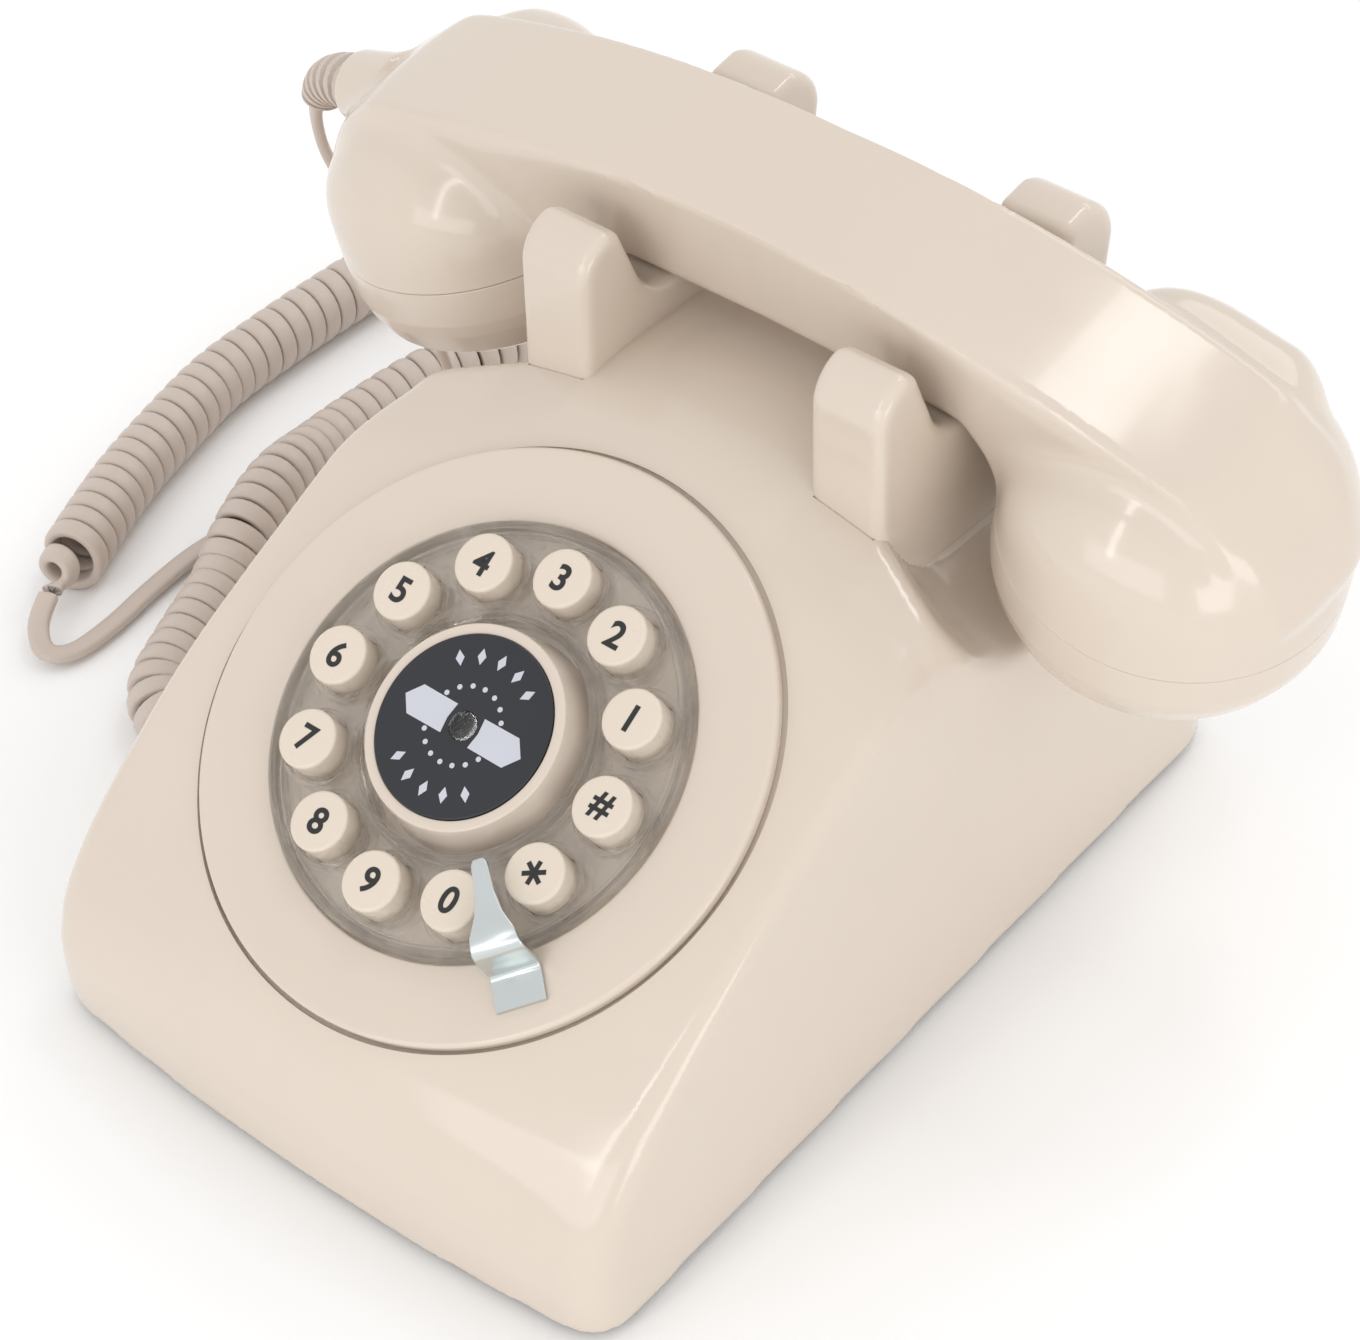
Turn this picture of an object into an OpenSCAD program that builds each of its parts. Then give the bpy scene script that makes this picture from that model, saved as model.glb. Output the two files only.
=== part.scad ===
// Push-button desk telephone with a handset across two saddle yokes.
// Frame: +X to the right of the caller, +Y away from the caller, +Z up,
// origin on the table under the middle of the body.

/* [Body] */
// Half width of the body at its front edge
body_half_w = 68.5; // [66:0.5:72]
// Wall thickness of the housing
body_wall = 2.6; // [2.2:0.1:3]
// Gap between the table and the housing
body_lift = 2; // [1.5:0.5:3]
// Thickness of the base plate
base_t = 2.4; // [2:0.2:3]

/* [Dial] */
// Radius of the round dial plate
plate_r = 56; // [55:0.5:56.5]
// Slope of the dial plate from the table
dial_tilt = 33.25; // [32:0.25:34]
// Radius of the circle of keys
key_circle_r = 31.3; // [30.8:0.1:31.8]
// Radius of a key cap
key_r = 5.7; // [5.4:0.1:5.9]
// Height of the key tops over the dial plate
key_top = 5.8; // [5:0.2:7]
// Travel of a key
key_travel = 1.5; // [1:0.1:1.8]
// Radius of the black centre disc
card_r = 17.2; // [16:0.2:17.6]

/* [Handset] */
// Distance of the crease at each end of the band from the middle
band_half_l = 94.7; // [93:0.1:96]
// Largest half width of the band along the top of the handset
band_half_w = 17.4; // [16.6:0.2:18]
// Radius of an ear or mouth cup
cup_r = 31.9; // [31:0.1:32.5]
// Distance of the middle of a cup's rim from the middle of the handset
cup_x = 81.6; // [80.6:0.2:82.6]
// How far the handset lifts before it is free
handset_lift = 60; // [40:5:80]

/* [Cradle] */
// Distance of a yoke's inner face from the middle
yoke_x0 = 25.7; // [25:0.1:27]
// Width of a yoke
yoke_w = 16.1; // [15:0.1:16.5]

/* [Cord] */
// Outer diameter of the curly cord
coil_d = 14.6; // [13:0.2:15]
// Diameter that a straight lead of the cord fits in
lead_d = 4; // [3.6:0.1:4.2]

/* [Hidden] */
$fn = 64;

shell_colour = [0.88, 0.84, 0.77];
slide_gap = 0.15;   // between a moving piece and its guide
seat_gap = 0.1;     // between a fixed piece and its pocket
far = 200;          // longer than any cut needs

// --- Body -------------------------------------------------------------------
front_y = -101;     // where the side taper starts
side_taper = 0.05;  // inward taper of each side for each mm towards the back
back_y = 102;
back_slope = 0.265; // lean of the back wall
vault_z = 105;      // crown of the top
vault_c = 0.00313;  // curvature of the crown across X
corner_r = 9;

// Each level of the body: height, front edge on the middle line, bow of the front edge
levels = [[2, -101, 4.5], [10, -102, 4.5], [18, -102, 4.5], [25, -100.8, 5.6], [31, -98.6, 7.5],
          [37, -95.2, 9.3], [42, -90, 8.8], [47, -83, 7.6], [55, -70.9, 5], [63, -58.7, 4],
          [71, -46.5, 5.2], [79, -34.3, 7], [87, -22.1, 9.5], [93, -12.9, 13.5], [97, -6.8, 14],
          [100, -2, 14], [102.4, 3, 12], [104, 8, 8]];

function side_w(y) = body_half_w - side_taper * (y - front_y);
function vault_w(z) = sqrt(max(vault_z - z, 0.2) / vault_c);
function arc(c, r, a0, a1, n) = [for (i = [0:n]) let (a = a0 + (a1 - a0) * i / n) c + r * [cos(a), sin(a)]];

// Plan outline of the body at one level, moved inward by inset
function plan(level, inset, n) =
    let (z = level[0], yf = level[1] + inset, yb = back_y - back_slope * (z - 2) - inset,
         wf = min(side_w(yf), vault_w(z)) - inset, wb = min(side_w(yb), vault_w(z)) - inset,
         r = min(corner_r, wf / 2), bow = level[2], edge = wf - r)
    concat([for (i = [0:n]) let (x = edge * (2 * i / n - 1)) [x, yf + bow * pow(x / wf, 2)]],
           [for (p = arc([edge, yf + bow + r * 0.9], r, -60, 0, 3)) p],
           [for (p = arc([wb - r, yb - r], r, 0, 90, 3)) p],
           [for (p = arc([-wb + r, yb - r], r, 90, 180, 3)) p],
           [for (p = arc([-edge, yf + bow + r * 0.9], r, 180, 240, 3)) p]);

// Solid through rings of points, closed at both ends
module skin(rings) {
    n = len(rings[0]);
    m = len(rings);
    polyhedron(points = [for (r = rings) for (p = r) p],
               faces = concat([[for (i = [0:n - 1]) i]],
                              [for (k = [0:m - 2]) for (i = [0:n - 1])
                                  let (j = (i + 1) % n, a = k * n, b = a + n)
                                      each [[a + i, b + j, a + j], [a + i, b + i, b + j]]],
                              [[for (i = [n - 1:-1:0]) (m - 1) * n + i]]));
}

module body_solid() {
    skin([for (l = levels) [for (p = plan(l, 0, 8)) [p[0], p[1], l[0]]]]);
}

inner_levels = [for (i = [0, 2, 4, 6, 8, 11, 13, 15]) levels[i]];
module body_hollow() {
    drop = body_wall * 0.9;
    skin([for (i = [0:len(inner_levels) - 1]) let (l = inner_levels[i])
        [for (p = plan(l, body_wall, 6)) [p[0], p[1], i == 0 ? -1 : l[0] - drop]]]);
}

// Hollow that the cup of the handset hangs over, on the right side
scoop_in = yoke_x0 + yoke_w + 0.2;
scoop_out = 76;
module scoop() {
    skin([[[scoop_in, 24, 81], [scoop_out, 20, 66], [scoop_out, 72, 66], [scoop_in, 68, 81]],
          [[scoop_in, 12, 100], [scoop_out, -8, 93], [scoop_out, 96, 93], [scoop_in, 78, 100]],
          [[scoop_in, 10, 120], [scoop_out, -12, 120], [scoop_out, 100, 120], [scoop_in, 80, 120]]]);
}

module both_sides() {
    children();
    mirror([1, 0, 0]) children();
}

// --- Yoke outline in the YZ plane --------------------------------------------
yoke_y0 = 12;
yoke_y1 = 76;             // back edge of the yoke inside the body
yoke_bottom = 82;
yoke_foot_r = 16;
horn_z = 129;
horn_r = 8.5;
rear_horn_y = 80.2;       // back edge of the rear horn
rear_horn_z = 135.5;
rear_horn_r = 9;
saddle_r = 9;
saddle_front = [36, 119.4];   // middle of the rounding at the front of the saddle
saddle_rear = [54.5, 122.3];  // middle of the rounding at its back
saddle_lean = 9.2;        // the saddle rises towards the back
yoke_outline = concat(
    arc([yoke_y0 + yoke_foot_r, yoke_bottom + yoke_foot_r], yoke_foot_r, 180, 270, 6),
    arc([yoke_y1 - yoke_foot_r, yoke_bottom + yoke_foot_r], yoke_foot_r, 270, 360, 6),
    arc([rear_horn_y - rear_horn_r, rear_horn_z - rear_horn_r], rear_horn_r, 0, 80, 5),
    [[66.8, rear_horn_z - 1.2], [65.4, rear_horn_z - 3]],
    arc(saddle_rear, saddle_r, -15, saddle_lean - 90, 4),
    arc(saddle_front, saddle_r, 270 + saddle_lean, 200, 4),
    [[23.2, horn_z - 2.6], [21.5, horn_z - 0.8]],
    arc([yoke_y0 + horn_r, horn_z - horn_r], horn_r, 95, 180, 5));

// Turns a drawing in Y and Z into a plate that is thick along X
module across(x0, thick) {
    translate([x0, 0, 0]) rotate([90, 0, 90]) linear_extrude(thick) children();
}

module pocket_outline(gap) {
    y0 = yoke_y0 - gap;
    y1 = yoke_y1 + gap;
    z0 = yoke_bottom - gap;
    r = yoke_foot_r;
    top = vault_z + 8;
    lean = (rear_horn_y - yoke_y1) / (rear_horn_z - rear_horn_r - yoke_bottom - r);
    polygon(concat(arc([y0 + r, z0 + r], r, 180, 270, 6), arc([y1 - r, z0 + r], r, 270, 360, 6),
                   [[y1 + lean * (top - z0 - r), top], [y0, top]]));
}

// --- Hook plungers -----------------------------------------------------------
plunger_x = yoke_x0 + yoke_w / 2;
plunger_y = 47;
plunger_r = 4;
plunger_top = 111.4;      // just under the handle of the handset
plunger_rise = 4;
bar_top = 75;
bar_h = 4;

// --- Dial frame: local z is the plate's normal, local y runs up the slope ----
dial_y = -48;
dial_z = 70;
plate_t = 3;
recess_r = plate_r + 0.9;
trough_r = key_circle_r + key_r + 4.2;
floor_t = 2;
ledge_r = trough_r + floor_t + 3.8;
ledge_z = -plate_t - seat_gap;
ledge_t = 2.6;
trough_z = -3;
floor_under = trough_z - floor_t;
key_hole_r = key_r + slide_gap;
flange_r = key_r + 1.2;
flange_t = 1.4;
stem_r = 2;
mat_z = floor_under - seat_gap - flange_t - 0.6 - key_travel;
mat_t = 1.5;
mat_r0 = card_r - 4.2;
board_t = 1.6;
keypad_low = mat_z - mat_t - board_t;
keypad_r = trough_r + 2.8;
keypad_screw_r = trough_r + 1.1;
KEYPAD_SCREWS = [for (a = [15:90:285]) keypad_screw_r * [cos(a), sin(a)]];
hub_r = 19.6;
hub_top = 6.8;
card_t = 1;
card_top = 7.2;
KEYS = ["1", "2", "3", "4", "5", "6", "7", "8", "9", "0", "star", "hash"];
function key_angle(i) = 30 + 30 * i;

module on_dial() {
    translate([0, dial_y, dial_z]) rotate([dial_tilt, 0, 0]) children();
}

module ring(r_out, r_in, z0, h) {
    translate([0, 0, z0]) difference() {
        cylinder(r = r_out, h = h);
        translate([0, 0, -1]) cylinder(r = r_in, h = h + 2);
    }
}

// --- Base --------------------------------------------------------------------
base_z = body_lift + 0.4;
base_top = base_z + base_t;
base_level = [7.5, front_y, 4.5];   // its outline clears the leaning back wall
boss_r = 4;
BOSSES = [[-48, -73], [48, -73], [-44, 76], [44, 76]];
FEET = [[-56.3, -86.6, 9.8], [56.3, -86.6, 9.8], [-49, 90, 8], [49, 90, 8]];
slider_y = 20;
slider_x = 30;

// Jack for the cord of the handset, in the left wall, and line jack in the back wall
jack_y = 47;
jack_z = 11;
jack_w = 13;
jack_h = 12;
jack_t = 16;
plug_w = 8.2;
plug_h = 7.2;
plug_in = 11;             // how far the plug goes into its jack
jack_x = -side_w(jack_y) + body_wall + 0.8;
line_x = -28;
line_y = back_y - back_slope * (jack_z + jack_h / 2 - 2) - body_wall - 1;

// --- Body modules -------------------------------------------------------------
module housing() {
    color(shell_colour) difference() {
        union() {
            difference() {
                body_solid();
                body_hollow();
            }
            intersection() {
                body_solid();
                union() {
                    on_dial() translate([0, 0, ledge_z - ledge_t])
                        cylinder(r = recess_r + 2.4, h = ledge_t + 0.2);
                    both_sides() across(yoke_x0 - 2, yoke_w + 2.2)
                        translate([yoke_y0 - 4, yoke_bottom - 2.4]) square([yoke_y1 - yoke_y0 + 12, 30]);
                    both_sides() scoop_backing();
                    for (b = BOSSES) translate([b[0], b[1], base_top]) cylinder(r = boss_r, h = far);
                }
            }
        }
        both_sides() scoop();
        both_sides() across(yoke_x0 - seat_gap, yoke_w + 10) pocket_outline(seat_gap);
        both_sides() translate([plunger_x, plunger_y, 70]) cylinder(r = plunger_r + slide_gap, h = 40);
        on_dial() translate([0, 0, ledge_z]) cylinder(r = recess_r, h = 30);
        on_dial() translate([0, 0, ledge_z - 10]) cylinder(r = ledge_r, h = 30);
        for (b = BOSSES) translate([b[0], b[1], base_z]) cylinder(r = 1.5, h = 12);
        translate([-far, jack_y - plug_w / 2 - 0.6, jack_z - plug_h / 2 - 0.6])
            cube([far - side_w(jack_y) + body_wall + 2, plug_w + 1.2, plug_h + 1.2]);
        translate([line_x - 5, line_y - 4, jack_z - 4.2]) cube([10, 40, 8.4]);
    }
}

// Inner skin of the scoop, so that the housing stays closed behind it
module scoop_backing() {
    w = body_wall;
    x0 = scoop_in - 0.2;
    skin([[[x0, 22, 81 - w], [scoop_out, 18, 66 - w], [scoop_out, 74, 66 - w], [x0, 70, 81 - w]],
          [[x0, 11 - w, 99], [scoop_out, -10 - w, 92], [scoop_out, 98 + w, 92], [x0, 79 + w, 99]],
          [[x0, 9 - w, 120], [scoop_out, -14 - w, 120], [scoop_out, 102 + w, 120], [x0, 81 + w, 120]]]);
}

module base_plate() {
    color([0.2, 0.2, 0.21]) difference() {
        translate([0, 0, base_z]) linear_extrude(base_t) polygon(plan(base_level, body_wall + 0.5, 8));
        for (b = BOSSES) translate([b[0], b[1], base_z - 1]) cylinder(r = 1.8, h = base_t + 2);
        translate([slider_x - 7, slider_y - 3, base_z - 1]) cube([14, 6, base_t + 2]);
    }
}

module feet() {
    color([0.09, 0.09, 0.09]) for (f = FEET) translate([f[0], f[1], 0]) {
        cylinder(r = f[2], h = body_lift);
        cylinder(r = f[2] - 4.4, h = base_z);
    }
}

module base_screws() {
    color("silver") for (b = BOSSES) translate([b[0], b[1], 0]) {
        translate([0, 0, base_z - 1.6]) cylinder(r = 3, h = 1.6);
        translate([0, 0, base_z - 0.5]) cylinder(r = 1.45, h = 10);
    }
}

// --- Dial modules -------------------------------------------------------------
module dial_plate() {
    color(shell_colour) on_dial() difference() {
        rotate_extrude() polygon([[card_r - 3, floor_under], [trough_r + floor_t, floor_under],
                                  [trough_r + floor_t, -plate_t], [plate_r - 0.8, -plate_t],
                                  [plate_r, -plate_t + 0.8], [plate_r, -0.9], [plate_r - 0.9, 0],
                                  [trough_r, 0], [trough_r, trough_z], [card_r - 3, trough_z]]);
        for (i = [0:11]) rotate(key_angle(i)) translate([key_circle_r, 0, floor_under - 1])
            cylinder(r = key_hole_r, h = floor_t + 2);
    }
}

ring_r0 = hub_r + 2.4;
ring_r1 = trough_r - 0.5;
module clear_dial_ring() {
    color([0.85, 0.88, 0.88, 0.4]) on_dial() difference() {
        rotate_extrude() polygon([[ring_r0, trough_z], [ring_r0 + 1.3, trough_z], [ring_r0 + 1.3, 0.9],
                                  [ring_r1 - 1.5, 0.9], [ring_r1 - 1.5, trough_z], [ring_r1, trough_z],
                                  [ring_r1, 1.6], [ring_r1 - 0.8, 2.4], [ring_r0 + 0.6, 2.4], [ring_r0, 1.8]]);
        for (i = [0:11]) rotate(key_angle(i)) translate([key_circle_r, 0, 0])
            cylinder(r = key_r + 0.8, h = 4);
    }
}

module dial_hub() {
    color(shell_colour) on_dial() rotate_extrude() polygon([
        [card_r - 4, floor_under], [card_r - 3.1, floor_under], [card_r - 3.1, trough_z],
        [hub_r, trough_z], [hub_r, hub_top - 1], [hub_r - 1, hub_top],
        [card_r + seat_gap, hub_top], [card_r + seat_gap, card_top - card_t], [5, card_top - card_t],
        [5, card_top - card_t - 1.6], [card_r - 4, card_top - card_t - 1.6]]);
}

module dial_card() {
    color([0.05, 0.05, 0.055]) on_dial() ring(card_r, 2.75, card_top - card_t, card_t);
}

module call_lens() {
    color([0.95, 0.95, 0.95, 0.5]) on_dial() translate([0, 0, card_top - card_t]) {
        cylinder(r = 2.6, h = card_t + 0.2);
        translate([0, 0, card_t + 0.2 - 0.6]) intersection() {
            sphere(r = 2.6);
            cylinder(r = 3, h = 3);
        }
        translate([0, 0, -1.8]) cylinder(r = 2.2, h = 2);
    }
}

module call_light_board() {
    color([0.1, 0.35, 0.2]) on_dial() translate([0, 0, card_top - card_t - 3.4])
        cylinder(r = card_r - 4.1, h = board_t);
}

// Bent metal stop beside the last digit
stop_w = 9;
stop_t = 1.2;
stop_angle = -45;
stop_in = 26.5;
stop_foot = trough_r + 2.2;
stop_out = stop_foot + 7.6;
module finger_stop() {
    color([0.75, 0.76, 0.78]) on_dial() rotate(stop_angle) rotate([90, 0, 0]) translate([0, 0, -stop_w / 2])
        linear_extrude(stop_w) polygon([[stop_out, 0], [stop_out, stop_t], [stop_foot + stop_t, stop_t],
            [stop_foot, 8.2], [stop_foot - 1.4, 9.4], [stop_in, 10.2], [stop_in, 9.1], [stop_foot - 2, 8.3],
            [stop_foot - stop_t, 7.6], [stop_foot, 0]]);
}

module key_mat() {
    color([0.75, 0.75, 0.75]) on_dial() ring(trough_r - 0.5, mat_r0, mat_z - mat_t, mat_t);
}

module keypad_board() {
    color([0.1, 0.35, 0.2]) on_dial() difference() {
        translate([0, 0, keypad_low]) cylinder(r = keypad_r, h = board_t);
        translate([0, 0, keypad_low - 1]) cylinder(r = mat_r0 - 3, h = board_t + 2);
        for (p = KEYPAD_SCREWS) translate([p[0], p[1], keypad_low - 1]) cylinder(r = 1.3, h = board_t + 2);
    }
}

module keypad_screws() {
    color("silver") on_dial() for (p = KEYPAD_SCREWS) translate([p[0], p[1], 0]) {
        translate([0, 0, keypad_low - 1.4]) cylinder(r = 2.2, h = 1.4);
        translate([0, 0, keypad_low - 0.2]) cylinder(r = 1.2, h = floor_under - keypad_low + 0.2);
    }
}

module key_cap(i) {
    top = floor_under - seat_gap;
    color([0.9, 0.86, 0.79]) on_dial() rotate(key_angle(i)) translate([key_circle_r, 0, 0]) {
        translate([0, 0, top - 0.4]) cylinder(r = key_r, h = key_top - top + 0.4 - 0.7);
        translate([0, 0, key_top - 0.7]) cylinder(r1 = key_r, r2 = key_r - 0.7, h = 0.7);
        translate([0, 0, top - flange_t]) cylinder(r = flange_r, h = flange_t);
        translate([0, 0, top - flange_t - 0.5]) cylinder(r = stem_r, h = 1);
    }
}

// --- Cradle -------------------------------------------------------------------
module right_yoke() {
    color(shell_colour) difference() {
        across(yoke_x0, yoke_w) polygon(yoke_outline);
        translate([plunger_x, plunger_y, 60]) cylinder(r = plunger_r + slide_gap, h = 80);
    }
}

module left_yoke() {
    mirror([1, 0, 0]) right_yoke();
}

module hook_plunger_right() {
    color([0.92, 0.9, 0.85]) translate([plunger_x, plunger_y, bar_top]) {
        cylinder(r = plunger_r, h = plunger_top - bar_top - 1);
        translate([0, 0, plunger_top - bar_top - 1.01])
            cylinder(r1 = plunger_r, r2 = plunger_r - 1, h = 1.01);
    }
}

module hook_plunger_left() {
    mirror([1, 0, 0]) hook_plunger_right();
}

module hook_bar() {
    half = plunger_x + 4.5;
    color([0.3, 0.3, 0.32]) translate([-half, plunger_y - 4.5, bar_top - bar_h]) cube([2 * half, 9, bar_h]);
}

module hook_switch() {
    top = bar_top - bar_h;
    color([0.15, 0.15, 0.16]) {
        translate([-10, plunger_y - 1.6, base_top]) cube([20, 3.2, top - 8 - base_top]);
        translate([-12, plunger_y - 10, base_top]) cube([24, 20, 2]);
        translate([-10, plunger_y - 4, top - 8]) cube([20, 8, 8]);
    }
}

main_board_size = [90, 62, board_t];
main_board_at = [-45, -55, base_top + 4];
module main_board() {
    color([0.1, 0.35, 0.2]) {
        translate(main_board_at) cube(main_board_size);
        for (x = [5, main_board_size[0] - 5]) for (y = [5, main_board_size[1] - 5])
            translate([main_board_at[0] + x, main_board_at[1] + y, base_top]) cylinder(r = 2.5, h = 4);
    }
    color([0.15, 0.15, 0.16]) for (x = [23, 49])
        translate(main_board_at + [x, 25, board_t - 0.2]) cube([18, 10, 3]);
}

speaker_r = 18;
speaker_h = 6;
module ringer_speaker() {
    color([0.2, 0.2, 0.22]) translate([body_half_w - speaker_r - 18.5, 50, base_top]) {
        cylinder(r = speaker_r, h = speaker_h);
        cylinder(r = speaker_r * 0.6, h = speaker_h + 8);
    }
}

ballast_size = [30, 22, 12];
module ballast_weight() {
    color([0.45, 0.46, 0.48]) translate([-18, 66, base_top]) cube(ballast_size);
}

module ringer_slider() {
    color([0.1, 0.1, 0.1]) {
        translate([slider_x - 2.5, slider_y - 2.8, base_z - 0.8]) cube([5, 5.6, base_t + 0.9]);
        translate([slider_x - 5, slider_y - 5, base_top + 0.05]) cube([10, 10, 1.6]);
    }
}

// Socket block with a rectangular mouth along -X or, turned, along +Y
module jack_block() {
    difference() {
        translate([0, -jack_w / 2, -jack_h / 2]) cube([jack_t, jack_w, jack_h]);
        translate([-1, -plug_w / 2 - seat_gap, -plug_h / 2 - seat_gap])
            cube([plug_in + 1.5, plug_w + 2 * seat_gap, plug_h + 2 * seat_gap]);
    }
}

module handset_jack() {
    color([0.12, 0.12, 0.12]) {
        translate([jack_x, jack_y, jack_z]) jack_block();
        translate([jack_x, jack_y - jack_w / 2, base_top])
            cube([jack_t, jack_w, jack_z - jack_h / 2 - base_top]);
    }
}

module line_jack() {
    color([0.12, 0.12, 0.12]) {
        translate([line_x, line_y, jack_z]) rotate([0, 0, -90]) jack_block();
        translate([line_x - jack_w / 2, line_y - jack_t, base_top])
            cube([jack_w, jack_t, jack_z - jack_h / 2 - base_top]);
    }
}

// --- Handset: local x along it, local z square to the band, origin on top of its middle -
hs_at = [-3.15, 43.1, 139];
hs_roll = 9.2;            // it leans towards the caller
hs_yaw = -0.5;
grip_z = -26.9;           // underside of the grip
edge_r = 3.6;             // height of the bevel along the underside
cup_drop = 44.2;          // from the band down to a cup's rim
cup_tilt = 12.9;
dome_low = 3;             // the dome's middle lies below the rim
dome_r = sqrt(pow(cup_r, 2) + pow(dome_low, 2));
cap_h = 18.3;
cap_t = 2;
shell_t = 2.4;
crown_fall = 12.4;        // fall of the arched band at crown_l from the middle
crown_more = 2.2;
crown_l = 93;
end_fall = 1.15;          // fall of the sloped end face for each mm outwards

module on_handset() {
    translate(hs_at) rotate([hs_roll, 0, hs_yaw]) children();
}

function crown(x) = x > band_half_l ? crown(band_half_l) - end_fall * (x - band_half_l)
    : -crown_fall * pow(x / crown_l, 2) - crown_more * pow(x / crown_l, 4);

// Stations along the handle: distance from the middle, share of the largest half width, underside
handle = [[0, 0.9, grip_z], [30, 0.925, grip_z], [45.2, 0.96, grip_z], [48.2, 0.967, -31.2],
          [51.5, 0.976, -36], [60, 1, -38], [75, 0.99, -40], [85, 0.945, -41.5],
          [band_half_l, 0.9, -42], [band_half_l + 4.5, 0.82, -42], [band_half_l + 9.3, 0.68, -41],
          [band_half_l + 12.7, 0.44, -40]];
function handle_ring(x, s, i) =
    let (a = band_half_w * s[1] - i, t = crown(s[0]) - i, b = s[2] + i,
         mid = a - min(4.1, a / 3), low = a - min(7.6, a * 0.6))
    [[x, -a, t], [x, -mid, b + edge_r], [x, -low, b], [x, low, b], [x, mid, b + edge_r], [x, a, t]];
module handle_solid(i, last) {
    skin(concat([for (k = [last:-1:1]) handle_ring(-handle[k][0], handle[k], i)],
                [for (k = [0:last]) handle_ring(handle[k][0], handle[k], i)]));
}

module at_cup(side) {
    on_handset() translate([side * cup_x, 0, -cup_drop]) rotate([0, side * cup_tilt, 0]) children();
}

// Nearly half a ball, made thinner by i
module dome(i) {
    r = dome_r - i;
    a0 = asin(dome_low / r);
    rotate_extrude() polygon(concat([[0, 0]],
        [for (k = [0:11]) let (a = a0 + (90 - a0) * k / 12) [r * cos(a), r * sin(a) - dome_low]],
        [[0, r - dome_low]]));
}

collar_at = [-106, 0, -29.8];
collar_turn = 98;         // from upright to the direction in which the cord leaves
module at_collar() {
    on_handset() translate(collar_at) rotate([0, -collar_turn, 0]) children();
}

module handset_shell() {
    color(shell_colour) difference() {
        union() {
            on_handset() handle_solid(0, len(handle) - 1);
            for (s = [-1, 1]) at_cup(s) dome(0);
            at_collar() cylinder(r1 = 8.6, r2 = 7, h = 9.5);
        }
        on_handset() handle_solid(shell_t, len(handle) - 5);
        for (s = [-1, 1]) at_cup(s) {
            dome(shell_t);
            translate([0, 0, -far]) cylinder(r = far / 2, h = far);
        }
        at_collar() translate([0, 0, -6]) cylinder(r = 3, h = 30);
    }
}

// Screw-on cap below a cup's rim, with a spigot that sits inside the dome
module cap(holes) {
    r = cup_r;
    rim = r - shell_t - 6 * seat_gap;
    difference() {
        rotate_extrude() polygon([[0, -cap_h], [r - 8, -cap_h], [r - 4.4, 0.9 - cap_h], [r - 2.6, -16],
            [r - 0.6, -11], [r, -8], [r, -seat_gap], [rim, -seat_gap], [rim, 2.5], [rim - 1.6, 2.5],
            [rim - 1.6, -9], [r - 3, -11.5], [r - 5.4, -14.5], [r - 8.4, cap_t - cap_h],
            [0, cap_t - cap_h]]);
        for (h = holes) translate([h[0], h[1], -cap_h - 1]) cylinder(r = 1.3, h = 4);
    }
}

function holes_on(r, n) = [for (i = [0:n - 1]) r * [cos(360 * i / n), sin(360 * i / n)]];
EAR_HOLES = concat([[0, 0]], holes_on(6, 6), holes_on(12, 12));
MOUTH_HOLES = concat([[0, 0]], holes_on(6, 6));
module ear_cap() {
    color(shell_colour) at_cup(1) cap(EAR_HOLES);
}

module mouth_cap() {
    color(shell_colour) at_cup(-1) cap(MOUTH_HOLES);
}

module receiver() {
    color([0.3, 0.3, 0.32]) at_cup(1) translate([0, 0, cap_t - cap_h]) {
        cylinder(r = 17, h = 7);
        cylinder(r = 10, h = 14);
    }
}

module microphone() {
    color([0.3, 0.3, 0.32]) at_cup(-1) translate([0, 0, cap_t - cap_h]) cylinder(r = 12, h = 8);
}

module handset_weight() {
    size = [60, 10, 7];
    color([0.45, 0.46, 0.48]) on_handset()
        translate([-size[0] / 2, -size[1] / 2, grip_z + shell_t]) cube(size);
}

// --- Strain relief on the left end of the handset -------------------------------
// The boot's middle line bends from the handset down to the cord
boot_start = [-112.5, 0, -30.7];
boot_bend = [-127.5, 0, -31.5];
boot_end = [-126.2, -2, -43];
boot_r0 = 6.2;
boot_r1 = 3.6;
rib_rings = 20;
rib_h = 0.7;
function boot_point(s) = pow(1 - s, 2) * boot_start + 2 * s * (1 - s) * boot_bend + s * s * boot_end;
function boot_line() = [for (i = [0:rib_rings]) boot_point(i / rib_rings)];
function unit(v) = v / norm(v);
function heading(pts, i) = unit(pts[min(i + 1, len(pts) - 1)] - pts[max(i - 1, 0)]);
function tube_ring(c, t, r, sides) =
    let (u = unit(cross(t, abs(t[2]) > 0.9 ? [0, 1, 0] : [0, 0, 1])), v = cross(t, u))
    [for (k = [0:sides - 1]) let (a = 360 * (k + 0.5) / sides) c + r * (cos(a) * u + sin(a) * v)];
module tube(pts, r, sides) {
    skin([for (i = [0:len(pts) - 1]) tube_ring(pts[i], heading(pts, i), r, sides)]);
}

module strain_relief() {
    line = boot_line();
    color([0.82, 0.78, 0.72]) on_handset() skin([for (i = [0:rib_rings])
        let (r = boot_r0 + (boot_r1 - boot_r0) * i / rib_rings - (i % 4 > 1 ? rib_h : 0))
            tube_ring(line[i], heading(line, i), r, 12)]);
}

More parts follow.
